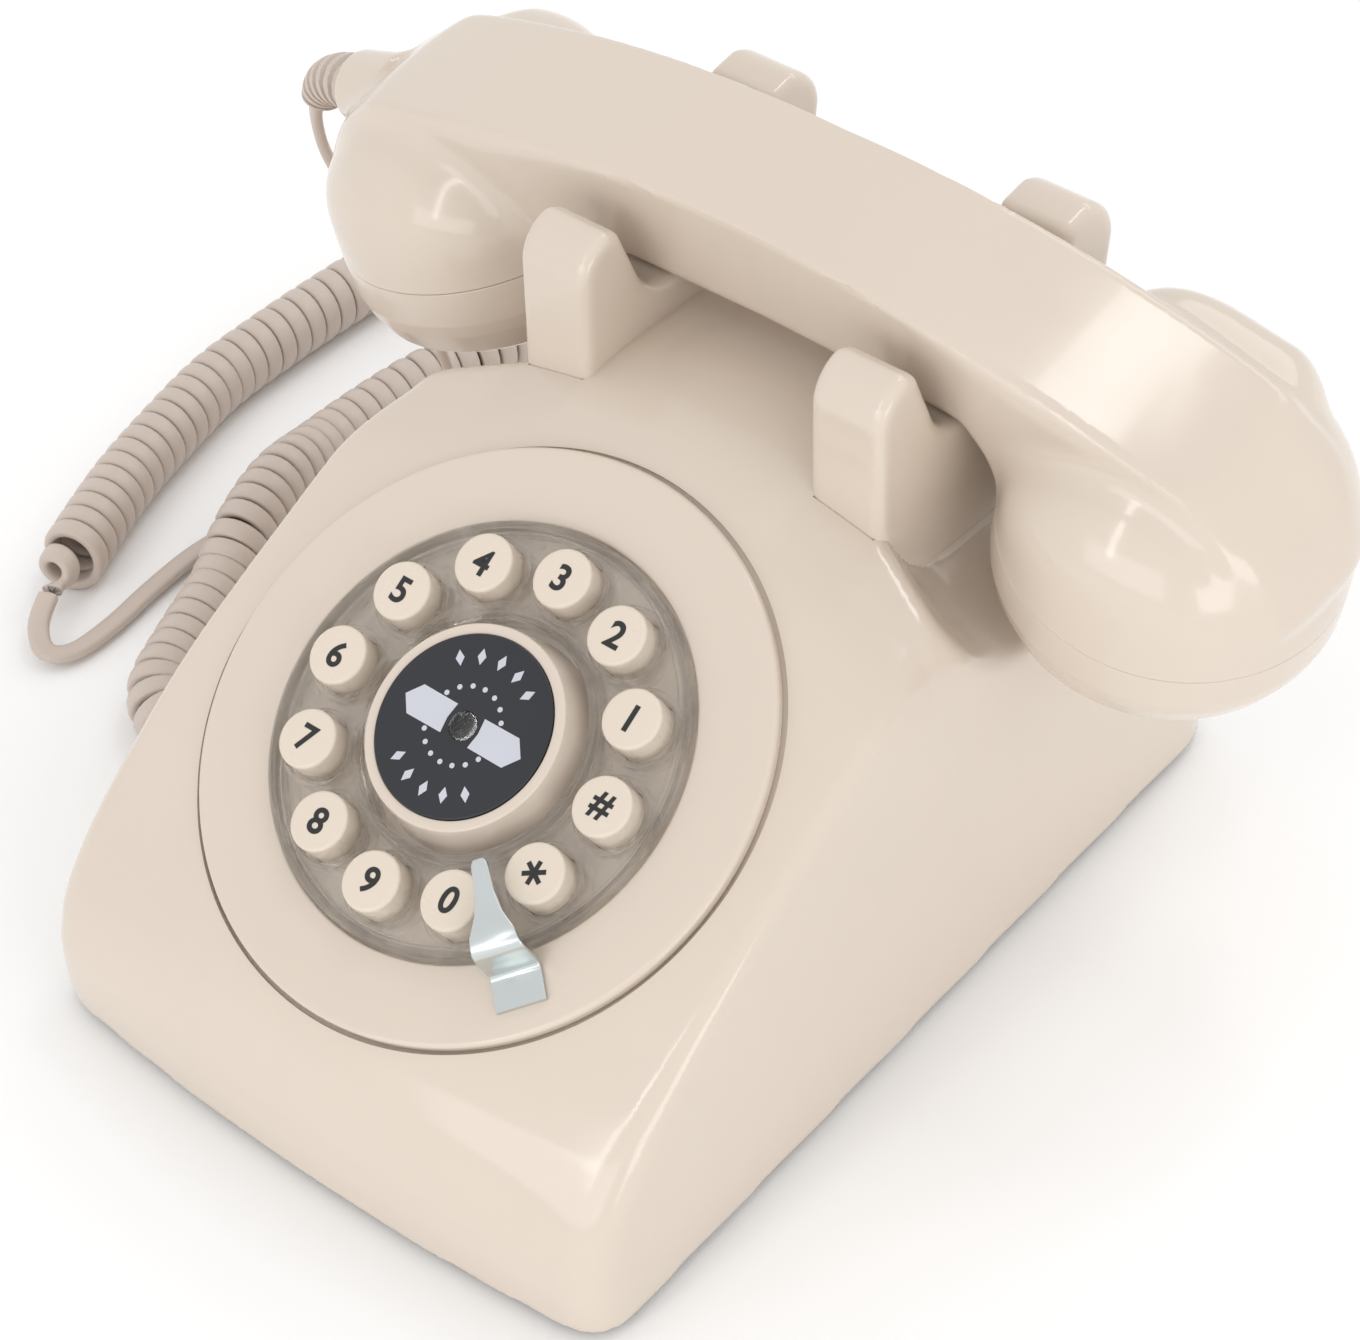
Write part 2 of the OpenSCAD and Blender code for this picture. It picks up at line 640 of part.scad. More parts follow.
// --- Cord -------------------------------------------------------------------------
// Route of the curly cord on the table, from its end near the handset to its end at the lead of the base
coil_z = coil_d / 2;
COIL = [[-82, 22, coil_z], [-81, 6, coil_z], [-82, -12, coil_z], [-87, -27, coil_z], [-97, -35, coil_z],
        [-108, -30, coil_z], [-115, -16, coil_z], [-121, 0, coil_z + 1], [-127, 14, coil_z + 4.6],
        [-133, 30, coil_z + 4.6], [-137, 46, coil_z + 1], [-138, 62, coil_z], [-137, 78, coil_z],
        [-134, 94, coil_z], [-135, 110, coil_z], [-143, 122, coil_z], [-156, 126, coil_z],
        [-168, 118, coil_z], [-173, 103, coil_z], [-174, 86, coil_z], [-174, 68, coil_z],
        [-173, 50, coil_z], [-169, 32, coil_z], [-164, 14, coil_z], [-157, -4, coil_z], [-149, -22, coil_z]];
LEAD_BASE = [[-149, -22, coil_z], [-147.8, -24.7, coil_z], [-145, -30, 5], [-140, -33, 3],
             [-136, -29, 2.4], [-136, -18, 2.2], [-138, -4, 2.2], [-139, 10, 2.2], [-137, 22, 2.2],
             [-131, 32, 2.2], [-122, 40, 2.2], [-110, 45, 2.2], [-98, 47, 4], [-88, 47, 8.6],
             [-80, 47, 11], [-76, 47, 11]];
LEAD_HANDSET = [[-129.3, 49.1, 95.7], [-128.9, 48.9, 93.2], [-127.4, 48.8, 87.6], [-124.8, 50.5, 78.6],
                [-120, 53.6, 68], [-114, 55.6, 56], [-108, 56, 44], [-102.5, 55, 32], [-97, 51, 22],
                [-91.5, 45, 14], [-86.5, 38, 9.6], [-83.4, 31, 7.8], [-82.2, 26, coil_z], [-82, 22, coil_z]];

module curly_cord() {
    color([0.84, 0.8, 0.76]) tube(COIL, coil_d / 2 / cos(180 / 12), 12);
}

module cord_lead_base() {
    color([0.84, 0.8, 0.76]) tube(LEAD_BASE, lead_d / 2, 8);
}

module cord_lead_handset() {
    color([0.84, 0.8, 0.76]) tube(LEAD_HANDSET, lead_d / 2, 8);
}

module cord_plug() {
    color([0.85, 0.86, 0.86, 0.6]) translate([-76, jack_y - plug_w / 2, jack_z - plug_h / 2])
        cube([jack_x + plug_in + 76, plug_w, plug_h]);
}

housing();
base_plate();
feet();
base_screws();
dial_plate();
clear_dial_ring();
dial_hub();
dial_card();
call_lens();
call_light_board();
finger_stop();
key_mat();
keypad_board();
keypad_screws();
for (i = [0:11]) key_cap(i);
left_yoke();
right_yoke();
hook_plunger_left();
hook_plunger_right();
hook_bar();
hook_switch();
main_board();
ringer_speaker();
ballast_weight();
ringer_slider();
line_jack();
handset_jack();
handset_shell();
mouth_cap();
ear_cap();
microphone();
receiver();
handset_weight();
strain_relief();
cord_plug();
curly_cord();
cord_lead_base();
cord_lead_handset();
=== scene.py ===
"""Looks of a corded push-button desk telephone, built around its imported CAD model.

Shapes are drawn in millimetres in the CAD frame and stored in metres.
"""

import math

import bmesh
import bpy
import numpy as np
import openvdb
from mathutils import Matrix, Vector


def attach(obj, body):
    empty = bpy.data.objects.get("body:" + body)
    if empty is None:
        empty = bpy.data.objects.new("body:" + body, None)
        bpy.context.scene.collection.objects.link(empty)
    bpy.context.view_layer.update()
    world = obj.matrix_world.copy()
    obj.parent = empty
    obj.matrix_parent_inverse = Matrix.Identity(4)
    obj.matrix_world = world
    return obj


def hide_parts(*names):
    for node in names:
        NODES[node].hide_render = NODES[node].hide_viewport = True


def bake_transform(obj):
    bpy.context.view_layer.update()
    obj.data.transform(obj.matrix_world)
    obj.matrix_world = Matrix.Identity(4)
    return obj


MM = 0.001

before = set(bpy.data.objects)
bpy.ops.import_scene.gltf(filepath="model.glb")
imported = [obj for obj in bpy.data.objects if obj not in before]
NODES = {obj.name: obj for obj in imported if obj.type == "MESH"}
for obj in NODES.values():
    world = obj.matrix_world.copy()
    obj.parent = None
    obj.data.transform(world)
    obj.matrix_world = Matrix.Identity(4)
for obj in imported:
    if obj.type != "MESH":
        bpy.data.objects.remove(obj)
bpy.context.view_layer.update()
scene = bpy.context.scene

# --- Camera ---------------------------------------------------------------------
CAMERA_AT = (0.36926, -0.41426, 0.54558)
CAMERA_AZ, CAMERA_EL, CAMERA_ROLL = map(math.radians, (41.313, 41.597, -1.617))
SENSOR_WIDTH = 36.0
LENS = 105.882


def add_camera():
    """The camera of the photograph, from its azimuth, elevation and roll."""
    ca, sa = math.cos(CAMERA_AZ), math.sin(CAMERA_AZ)
    ce, se = math.cos(CAMERA_EL), math.sin(CAMERA_EL)
    cr, sr = math.cos(CAMERA_ROLL), math.sin(CAMERA_ROLL)
    back = Vector((sa * ce, -ca * ce, se))
    right = Vector((ca, sa, 0.0))
    up = back.cross(right)
    right, up = cr * right + sr * up, -sr * right + cr * up
    data = bpy.data.cameras.new("camera")
    data.sensor_width = SENSOR_WIDTH
    data.lens = LENS
    data.clip_start, data.clip_end = 0.05, 20.0
    camera = bpy.data.objects.new("camera", data)
    turn = Matrix((right, up, back)).transposed().to_4x4()
    camera.matrix_world = Matrix.Translation(CAMERA_AT) @ turn
    scene.collection.objects.link(camera)
    scene.camera = camera


add_camera()


# --- Materials ------------------------------------------------------------------
DRIFT_SCALE = 22.0      # slow change of colour over a piece
SMEAR_SCALE = 60.0      # patches of uneven gloss
ROUGH_VARY = 0.04
COAT_ROUGH = 0.06
RELIEF_DEPTH = 0.0002
ACRYLIC_IOR = 1.49
ACRYLIC_ALPHA = 0.62    # the rest of the light goes straight through


def node_material(name):
    mat = bpy.data.materials.new(name)
    mat.use_nodes = True
    tree = mat.node_tree
    return mat, tree.nodes, tree.links, tree.nodes["Principled BSDF"]


def noise(nodes, links, coords, scale, detail=4.0, rough=0.55):
    tex = nodes.new("ShaderNodeTexNoise")
    tex.inputs["Scale"].default_value = scale
    tex.inputs["Detail"].default_value = detail
    tex.inputs["Roughness"].default_value = rough
    links.new(coords, tex.inputs["Vector"])
    return tex.outputs["Fac"]


def ramp(nodes, links, fac, stops):
    node = nodes.new("ShaderNodeValToRGB")
    node.color_ramp.elements[0].position = stops[0][0]
    node.color_ramp.elements[1].position = stops[-1][0]
    for position, _ in stops[1:-1]:
        node.color_ramp.elements.new(position)
    for element, (_, colour) in zip(node.color_ramp.elements, stops):
        element.color = (*colour, 1.0)
    links.new(fac, node.inputs["Fac"])
    return node.outputs["Color"]


def spread(nodes, links, fac, low, high):
    node = nodes.new("ShaderNodeMapRange")
    node.inputs["From Min"].default_value = 0.3
    node.inputs["From Max"].default_value = 0.7
    node.inputs["To Min"].default_value = low
    node.inputs["To Max"].default_value = high
    links.new(fac, node.inputs["Value"])
    return node.outputs["Result"]


def shade(colour, k):
    return tuple(min(1.0, c * k) for c in colour)


def plastic(name, colour, rough, vary=0.02, grain=900.0, bump=0.03, coat=0.0, metal=0.0, specular=0.5):
    """Moulded material: slow colour drift, uneven gloss and a fine skin texture."""
    mat, nodes, links, shader = node_material(name)
    coords = nodes.new("ShaderNodeTexCoord").outputs["Object"]
    slow = noise(nodes, links, coords, DRIFT_SCALE)
    base = ramp(nodes, links, slow, [(0.3, shade(colour, 1 - vary)), (0.7, shade(colour, 1 + vary))])
    links.new(base, shader.inputs["Base Color"])
    smear = noise(nodes, links, coords, SMEAR_SCALE, 6.0, 0.6)
    gloss = spread(nodes, links, smear, rough - ROUGH_VARY, rough + ROUGH_VARY)
    links.new(gloss, shader.inputs["Roughness"])
    fine = noise(nodes, links, coords, grain, 3.0)
    relief = nodes.new("ShaderNodeBump")
    relief.inputs["Strength"].default_value = bump
    relief.inputs["Distance"].default_value = RELIEF_DEPTH
    links.new(fine, relief.inputs["Height"])
    links.new(relief.outputs["Normal"], shader.inputs["Normal"])
    shader.inputs["Metallic"].default_value = metal
    shader.inputs["Coat Weight"].default_value = coat
    shader.inputs["Coat Roughness"].default_value = COAT_ROUGH
    shader.inputs["Specular IOR Level"].default_value = specular
    return mat


def clear(name, colour, rough):
    """Clear moulded plastic with faint haze and flow marks."""
    mat, nodes, links, shader = node_material(name)
    coords = nodes.new("ShaderNodeTexCoord").outputs["Object"]
    slow = noise(nodes, links, coords, 35.0)
    base = ramp(nodes, links, slow, [(0.3, shade(colour, 0.985)), (0.7, colour)])
    links.new(base, shader.inputs["Base Color"])
    haze = noise(nodes, links, coords, 120.0, 5.0)
    links.new(spread(nodes, links, haze, rough * 0.6, rough * 1.6), shader.inputs["Roughness"])
    flow = nodes.new("ShaderNodeBump")
    flow.inputs["Strength"].default_value = 0.02
    flow.inputs["Distance"].default_value = RELIEF_DEPTH
    links.new(noise(nodes, links, coords, 260.0), flow.inputs["Height"])
    links.new(flow.outputs["Normal"], shader.inputs["Normal"])
    shader.inputs["Transmission Weight"].default_value = 1.0
    shader.inputs["IOR"].default_value = ACRYLIC_IOR
    shader.inputs["Alpha"].default_value = ACRYLIC_ALPHA
    return mat


# One material for each slot of the dressed pieces, and dark plastic for all other nodes.
CREAM = (0.665, 0.575, 0.487)
MATERIALS = {
    "shell": plastic("cream_abs", CREAM, 0.16, vary=0.012, bump=0.018, coat=0.25),
    "key_plastic": plastic("cream_keys", (0.705, 0.615, 0.515), 0.27, vary=0.012, bump=0.04),
    "foot_rubber": plastic("black_rubber", (0.012, 0.012, 0.012), 0.6, bump=0.3, vary=0.2),
    "clear_plastic": clear("clear_plastic", (0.97, 0.965, 0.95), 0.03),
    "card_black": plastic("black_card", (0.016, 0.017, 0.022), 0.33, vary=0.12, bump=0.08),
    "bright_steel": plastic("bright_steel", (0.62, 0.66, 0.655), 0.24, metal=1.0, vary=0.03, bump=0.05),
    "dark_plastic": plastic("dark_plastic", (0.03, 0.03, 0.032), 0.42, vary=0.12, bump=0.2),
    "cord_rubber": plastic("cream_cord", (0.56, 0.475, 0.415), 0.42, vary=0.03, bump=0.12, coat=0.05),
}
INK = plastic("black_ink", (0.012, 0.012, 0.013), 0.4, vary=0.2, bump=0.05)
PRINT = plastic("grey_print", (0.55, 0.56, 0.62), 0.45, vary=0.03, bump=0.05)


# --- Mesh helpers ----------------------------------------------------------------
def mesh_object(name, points, faces, sharp=40.0):
    """An object from points in millimetres. Edges sharper than the angle stay crisp."""
    mesh = bpy.data.meshes.new(name)
    mesh.from_pydata((np.asarray(points, float) * MM).tolist(), [], [list(f) for f in faces])
    work = bmesh.new()
    work.from_mesh(mesh)
    bmesh.ops.recalc_face_normals(work, faces=work.faces)
    work.to_mesh(mesh)
    work.free()
    smooth(mesh, sharp)
    obj = bpy.data.objects.new(name, mesh)
    scene.collection.objects.link(obj)
    return obj


def smooth(mesh, sharp):
    mesh.shade_smooth()
    mesh.set_sharp_from_angle(angle=math.radians(sharp))


def applied(obj):
    """Replaces the object's mesh with its evaluated one and drops the modifiers."""
    graph = bpy.context.evaluated_depsgraph_get()
    mesh = bpy.data.meshes.new_from_object(obj.evaluated_get(graph))
    obj.modifiers.clear()
    obj.data = mesh
    return obj


def carve(obj, cutters, operation="DIFFERENCE", sharp=40.0):
    """Cuts the cutters out of a piece, or joins them to it, and removes them."""
    for cutter in cutters:
        tool = obj.modifiers.new("cut", "BOOLEAN")
        tool.operation = operation
        tool.solver = "MANIFOLD"
        tool.object = cutter
        applied(obj)
        bpy.data.objects.remove(cutter)
    smooth(obj.data, sharp)
    return obj


def place(obj, matrix):
    """Moves the mesh, given in millimetres, by a matrix in millimetres."""
    move = matrix.copy()
    move.translation = matrix.translation * MM
    obj.data.transform(move)
    return obj


def settle(obj, body, *nodes, slot=None):
    """Says which body a piece rides on, the CAD nodes that it stands for, and its slot."""
    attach(obj, body)
    if nodes:
        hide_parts(*nodes)
    if slot:
        if not any(obj.data.materials):
            obj.data.materials.clear()
            obj.data.materials.append(MATERIALS[slot])
    return obj


def lathe(name, profile, turns=128, sharp=40.0):
    """Turns a closed profile of (radius, height) about Z."""
    points, rings = [], []
    for radius, height in profile:
        if radius < 1e-6:
            rings.append([len(points)] * turns)
            points.append((0.0, 0.0, height))
        else:
            start = len(points)
            rings.append(list(range(start, start + turns)))
            for k in range(turns):
                a = 2 * math.pi * k / turns
                points.append((radius * math.cos(a), radius * math.sin(a), height))
    faces = []
    for a, b in zip(rings, rings[1:] + rings[:1]):
        for k in range(turns):
            j = (k + 1) % turns
            face = []
            for v in (a[k], a[j], b[j], b[k]):
                if v not in face:
                    face.append(v)
            if len(face) > 2:
                faces.append(face)
    return mesh_object(name, points, faces, sharp=sharp)


def rounded(profile, radii, steps=5):
    """Rounds the corners of a closed profile; a radius of 0 keeps a corner."""
    out = []
    count = len(profile)
    for i, radius in enumerate(radii):
        here = np.array(profile[i], float)
        if not radius:
            out.append(tuple(here))
            continue
        before = np.array(profile[i - 1], float) - here
        after = np.array(profile[(i + 1) % count], float) - here
        la, lb = np.linalg.norm(before), np.linalg.norm(after)
        ua, ub = before / la, after / lb
        half = math.acos(max(-1, min(1, float(ua @ ub)))) / 2
        reach = min(radius / math.tan(half), la * 0.49, lb * 0.49)
        p, q = here + ua * reach, here + ub * reach
        for k in range(steps + 1):
            t = k / steps
            out.append(tuple((1 - t) ** 2 * p + 2 * t * (1 - t) * here + t * t * q))
    return out


def prism(name, outline, low, high, axis="Z"):
    """A prism over an outline, along Z or, for an outline in Y and Z, along X."""
    n = len(outline)
    points = [(*p, h) if axis == "Z" else (h, *p) for h in (low, high) for p in outline]
    faces = [list(range(n)), list(range(n, 2 * n))]
    faces += [[i, (i + 1) % n, n + (i + 1) % n, n + i] for i in range(n)]
    return mesh_object(name, points, faces)


def sweep(name, line, normals, section):
    """Carries a section of (across, along the normal) points along a line."""
    line, normals = np.asarray(line, float), np.asarray(normals, float)
    ahead = np.gradient(line, axis=0)
    ahead /= np.linalg.norm(ahead, axis=1)[:, None]
    normals = normals - (normals * ahead).sum(1)[:, None] * ahead
    normals /= np.linalg.norm(normals, axis=1)[:, None]
    across = np.cross(ahead, normals)
    sections = section if callable(section) else (lambda i: section)
    n = len(sections(0))
    points = []
    for i in range(len(line)):
        for u, v in sections(i):
            points.append(line[i] + u * across[i] + v * normals[i])
    faces = []
    for i in range(len(line) - 1):
        for k in range(n):
            j = (k + 1) % n
            faces.append([i * n + k, i * n + j, (i + 1) * n + j, (i + 1) * n + k])
    faces.append(list(range(n))[::-1])
    faces.append([(len(line) - 1) * n + k for k in range(n)])
    return mesh_object(name, points, faces, sharp=60.0)


def smin(a, b, k):
    """The smaller of two fields, blended over a width of k."""
    h = np.maximum(k - np.abs(a - b), 0.0) / k
    return np.minimum(a, b) - h * h * k / 4


def smax(a, b, k):
    """The larger of two fields, blended over a width of k."""
    return -smin(-a, -b, k)


SLAB = 12               # planes of the grid that are worked out at a time
SLOPE_REACH = 0.01
PULL_ROUNDS = 4
LONGEST_PULL = 0.6      # in grid steps
GRID_OUTSIDE = 5.0


def surface(name, field, low, high, step, sharp=50.0):
    """A mesh of the surface where a field of x, y, z in millimetres is zero."""
    low = np.array(low, float)
    counts = np.ceil((np.array(high, float) - low) / step).astype(int) + 1
    xs, ys, zs = (low[i] + step * np.arange(counts[i]) for i in range(3))
    values = np.empty(counts, np.float32)
    for i in range(0, counts[0], SLAB):
        grid = np.meshgrid(xs[i:i + SLAB], ys, zs, indexing="ij")
        values[i:i + SLAB] = field(*grid)
    volume = openvdb.FloatGrid(GRID_OUTSIDE)
    volume.copyFromArray(values)
    points, quads = volume.convertToQuads(isovalue=0.0)
    points = np.asarray(points, float) * step + low
    d = SLOPE_REACH
    for _ in range(PULL_ROUNDS):
        x, y, z = points.T
        here = field(x, y, z)
        slope = np.stack([(field(x + d, y, z) - field(x - d, y, z)),
                          (field(x, y + d, z) - field(x, y - d, z)),
                          (field(x, y, z + d) - field(x, y, z - d))], 1) / (2 * d)
        size = np.maximum((slope ** 2).sum(1), 0.05)
        move = slope * (here / size)[:, None]
        length = np.linalg.norm(move, axis=1)
        move *= np.minimum(1.0, LONGEST_PULL * step / np.maximum(length, 1e-9))[:, None]
        points -= move
    return mesh_object(name, points, quads, sharp=sharp)


TABLE_STEP = 0.25


def smoothed_table(positions, values, window):
    """A lookup through the points of a table with its corners rounded over the window."""
    grid = np.arange(positions[0], positions[-1] + 0.01, TABLE_STEP)
    dense = np.interp(grid, positions, values)
    weights = np.hanning(int(window / TABLE_STEP) | 1)
    weights /= weights.sum()
    pad = len(weights) // 2
    left = dense[0] - (dense[1] - dense[0]) * np.arange(pad, 0, -1)
    right = dense[-1] + (dense[-1] - dense[-2]) * np.arange(1, pad + 1)
    soft = np.convolve(np.concatenate([left, dense, right]), weights, "valid")
    return lambda at: np.interp(at, grid, soft)


# --- Cord -------------------------------------------------------------------------
# The route repeats the CAD's. Only the end at the handset is moved to the visible boot.
COIL_Z = 7.3
COIL = [(-82, 22, COIL_Z), (-81, 6, COIL_Z), (-82, -12, COIL_Z), (-87, -27, COIL_Z),
        (-97, -35, COIL_Z), (-108, -30, COIL_Z), (-115, -16, COIL_Z), (-121, 0, COIL_Z + 1),
        (-127, 14, COIL_Z + 4.6), (-133, 30, COIL_Z + 4.6), (-137, 46, COIL_Z + 1),
        (-138, 62, COIL_Z), (-137, 78, COIL_Z), (-134, 94, COIL_Z), (-135, 110, COIL_Z),
        (-143, 122, COIL_Z), (-156, 126, COIL_Z), (-168, 118, COIL_Z), (-173, 103, COIL_Z),
        (-174, 86, COIL_Z), (-174, 68, COIL_Z), (-173, 50, COIL_Z), (-169, 32, COIL_Z),
        (-164, 14, COIL_Z), (-157, -4, COIL_Z), (-149, -22, COIL_Z)]
LEAD_BASE = [(-149, -22, COIL_Z), (-147.8, -24.7, COIL_Z), (-145, -30, 5), (-140, -33, 3),
             (-136, -29, 2.4), (-136, -18, 2.2), (-138, -4, 2.2), (-139, 10, 2.2),
             (-137, 22, 2.2), (-131, 32, 2.2), (-122, 40, 2.2), (-110, 45, 2.2),
             (-98, 47, 4), (-88, 47, 8.6), (-80, 47, 11), (-76, 47, 11)]
LEAD_HANDSET = [(-128.6, 48.8, 103), (-130.6, 48.9, 99.5), (-131.2, 48.9, 94.5),
                (-129.2, 48.8, 87.6), (-124.8, 50.5, 78.6), (-120, 53.6, 68), (-114, 55.6, 56),
                (-108, 56, 44), (-102.5, 55, 32), (-97, 51, 22), (-91.5, 45, 14),
                (-86.5, 38, 9.6), (-83.4, 31, 7.8), (-82.2, 26, COIL_Z), (-82, 22, COIL_Z)]
HELIX_R = 6.05
PITCH = 4.8
POINTS_A_TURN = 24
FLAT_W = 4.5
FLAT_T = 2.4
LEAD_STEP = 2.0
SPLINE_STEPS = 40
SLOW_RATE = 0.22        # the helix turns slower at its ends and closes to the centreline
SLOW_OVER = 16.0
CLOSE_OVER = 12.0
HANG_THIN = (0.55, 0.8, 0.25)


def smooth_line(points, step):
    """A Catmull-Rom curve through the points, in equal steps."""
    p = np.array(points, float)
    p = np.vstack([2 * p[0] - p[1], p, 2 * p[-1] - p[-2]])
    out = []
    for i in range(1, len(p) - 2):
        t = np.linspace(0, 1, SPLINE_STEPS, endpoint=False)[:, None]
        a, b, c, d = p[i - 1:i + 3]
        out.append(0.5 * (2 * b + (c - a) * t + (2 * a - 5 * b + 4 * c - d) * t ** 2
                          + (3 * b - a - 3 * c + d) * t ** 3))
    line = np.vstack(out + [p[-2:-1]])
    run = np.concatenate([[0], np.cumsum(np.linalg.norm(np.diff(line, axis=0), axis=1))])
    at = np.linspace(0, run[-1], int(round(run[-1] / step)) + 1)
    return np.stack([np.interp(at, run, line[:, i]) for i in range(3)], 1), at


def ease(t):
    """Goes from 0 to 1 with level ends, and stays there outside."""
    t = np.clip(t, 0.0, 1.0)
    return t * t * (3 - 2 * t)


def cord_line():
    """Centreline of the whole cord from the base to the handset, and its thin axis."""
    up = np.array([0.0, 0.0, 1.0])
    base, _ = smooth_line(LEAD_BASE[::-1], LEAD_STEP)
    coil, run = smooth_line(COIL[::-1], PITCH / POINTS_A_TURN)
    hang, _ = smooth_line(LEAD_HANDSET[::-1], LEAD_STEP)
    ahead = np.gradient(coil, axis=0)
    ahead /= np.linalg.norm(ahead, axis=1)[:, None]
    side = np.cross(ahead, up)
    side /= np.linalg.norm(side, axis=1)[:, None]
    top = np.cross(side, ahead)
    from_end = np.minimum(run, run[-1] - run)
    rate = SLOW_RATE + (1 - SLOW_RATE) * ease(from_end / SLOW_OVER)
    phase = 2 * math.pi * np.cumsum(rate) * (run[1] - run[0]) / PITCH - math.pi / 2
    radial = np.cos(phase)[:, None] * side + np.sin(phase)[:, None] * top
    radius = HELIX_R * ease(from_end / CLOSE_OVER)
    turns = coil + radius[:, None] * radial
    line = np.vstack([base[:-1], turns, hang[1:]])
    thin_base = np.tile(up, (len(base) - 1, 1))
    thin_hang = np.tile(HANG_THIN, (len(hang) - 1, 1))
    thin = np.vstack([thin_base, radial, thin_hang])
    return line, thin


def flat_section(width, thick, count=12, power=0.62):
    """A flat cord's section: a superellipse, with its flat sides square to the normal."""
    out = []
    for k in range(count):
        a = 2 * math.pi * (k + 0.5) / count
        c, s = math.cos(a), math.sin(a)
        out.append((width / 2 * math.copysign(abs(c) ** power, c),
                    thick / 2 * math.copysign(abs(s) ** power, s)))
    return out


cord_path, cord_thin = cord_line()
cord = sweep("handset_cord", cord_path, cord_thin, flat_section(FLAT_W, FLAT_T))
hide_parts("curly_cord", "cord_lead_base", "cord_lead_handset")
cord.data.materials.append(MATERIALS["cord_rubber"])


# --- Housing ----------------------------------------------------------------------
# Each level: height, place of the front there, and how far its middle bows forward.
LEVELS = [(-8, -101, 4.5), (2, -101, 4.5), (10, -102, 4.5), (18, -102, 4.5), (25, -100.8, 5.6),
          (31, -98.6, 7.5), (37, -95.2, 9.3), (42, -90, 8.8), (47, -83, 7.6), (55, -70.9, 5),
          (63, -58.7, 4), (71, -46.5, 5.2), (79, -34.3, 7), (87, -22.1, 9.5), (93, -12.9, 13.5),
          (97, -6.8, 14), (130, 43.5, 14)]
VAULT_Z, VAULT_C = 105.0, 0.00313     # top of the crown, and its fall per mm squared
FRONT_Y, HALF_W, SIDE_TAPER = -101, 68.5, 0.05
BACK_Y, BACK_LEAN = 102, 0.265
BACK_SLOPE = 1.0345     # length of the back's slope (1, BACK_LEAN)
FRONT_CORNERS = ([0, 20, 45, 60], [9.0, 9.0, 5.0, 3.2])
CROWN_EDGES = ([-30, 0, 60, 100], [5.0, 14.0, 8.0, 8.0])
WALL = 2.6
LIFT = 2.0              # the shell's rim above the table
YOKE_X0, YOKE_X1 = 25.7, 41.8
YOKE_MID = (YOKE_X0 + YOKE_X1) / 2
YOKE_EDGE = 2.6
POCKET_GAP = 0.12
POCKET_LAP = 1.2        # the shell closes round the yoke's rounded corners
SCOOP_IN, SCOOP_OUT = 42.0, 76.0
SHAFT_X, SHAFT_Y, SHAFT_R = 33.75, 47.0, 4.15
DIAL_Y, DIAL_Z = -48, 70
DIAL_TILT = math.radians(33.25)
ON_DIAL = Matrix.Translation((0, DIAL_Y, DIAL_Z)) @ Matrix.Rotation(DIAL_TILT, 4, "X")
LEDGE_R, LEDGE_MID, LEDGE_T = 59.3, -4.3, 2.8
LEDGE_Z = -3.1          # the plate's seat, in the dial's frame
BODY_GRID = 1.2
YOKE_GRID = 0.8


def side_w(y):
    """Half the body's width, which narrows towards the back."""
    return HALF_W - SIDE_TAPER * (y - FRONT_Y)


def level_bow(z, y, bow):
    """The bow of the front at a level, per mm squared of distance from the middle."""
    half = min(side_w(y), math.sqrt(max(VAULT_Z - z, 5.0) / VAULT_C))
    return bow / half ** 2


front_y = smoothed_table([l[0] for l in LEVELS], [l[1] for l in LEVELS], 7.0)
front_bow = smoothed_table([l[0] for l in LEVELS], [level_bow(*l) for l in LEVELS], 10.0)


def scoop_field(x, y, z):
    """Hollow beside a yoke, under a cup of the handset; negative in the hollow.

    s runs from the yoke outwards, and t from the hollow's floor up to its rim.
    """
    s = (np.abs(x) - SCOOP_IN) / (SCOOP_OUT - SCOOP_IN)
    floor, rim = 81 - 15 * s, 100 - 7 * s
    t = (z - floor) / (rim - floor)
    above = np.clip((z - rim) / (120 - rim), 0, 1)
    low = np.minimum(t, 1.0)
    front = (24 - 4 * s) * (1 - low) + (12 - 20 * s) * low - above * (2 + 2 * s)
    back = (68 + 4 * s) * (1 - low) + (78 + 18 * s) * low + above * (2 + 2 * s)
    hollow = smax((floor - z) * 0.92, (front - y) * 0.8, 9.0)
    hollow = smax(hollow, (y - back) * 0.8, 9.0)
    return smax(hollow, SCOOP_IN - 0.5 - np.abs(x), 0.6)


def body_field(x, y, z):
    """The body without its hollow inside: front, sides, back, crown and the two scoops."""
    at = front_y(z)
    bow = front_bow(z)
    steep = (front_y(z + 0.5) - front_y(z - 0.5))
    front = (at + bow * x * x - y) / np.sqrt(1 + steep ** 2 + (2 * bow * x) ** 2)
    side = np.abs(x) - side_w(y)
    body = smax(front, side, np.interp(z, *FRONT_CORNERS))
    body = smax(body, (y - (BACK_Y - BACK_LEAN * (z - LIFT))) / BACK_SLOPE, 10.0)
    vault = (z - VAULT_Z + VAULT_C * x * x) / np.sqrt(1 + (2 * VAULT_C * x) ** 2)
    body = smax(body, vault, np.interp(y, *CROWN_EDGES))
    return smax(body, -scoop_field(x, y, z), 2.2)


def to_dial(x, y, z):
    """A point's coordinates in the frame of the dial."""
    c, s = math.cos(DIAL_TILT), math.sin(DIAL_TILT)
    dy, dz = y - DIAL_Y, z - DIAL_Z
    return x, c * dy + s * dz, -s * dy + c * dz


def box_field(x, y, z, low, high):
    d = np.maximum(np.maximum(low[0] - x, x - high[0]), np.maximum(low[1] - y, y - high[1]))
    return np.maximum(d, np.maximum(low[2] - z, z - high[2]))


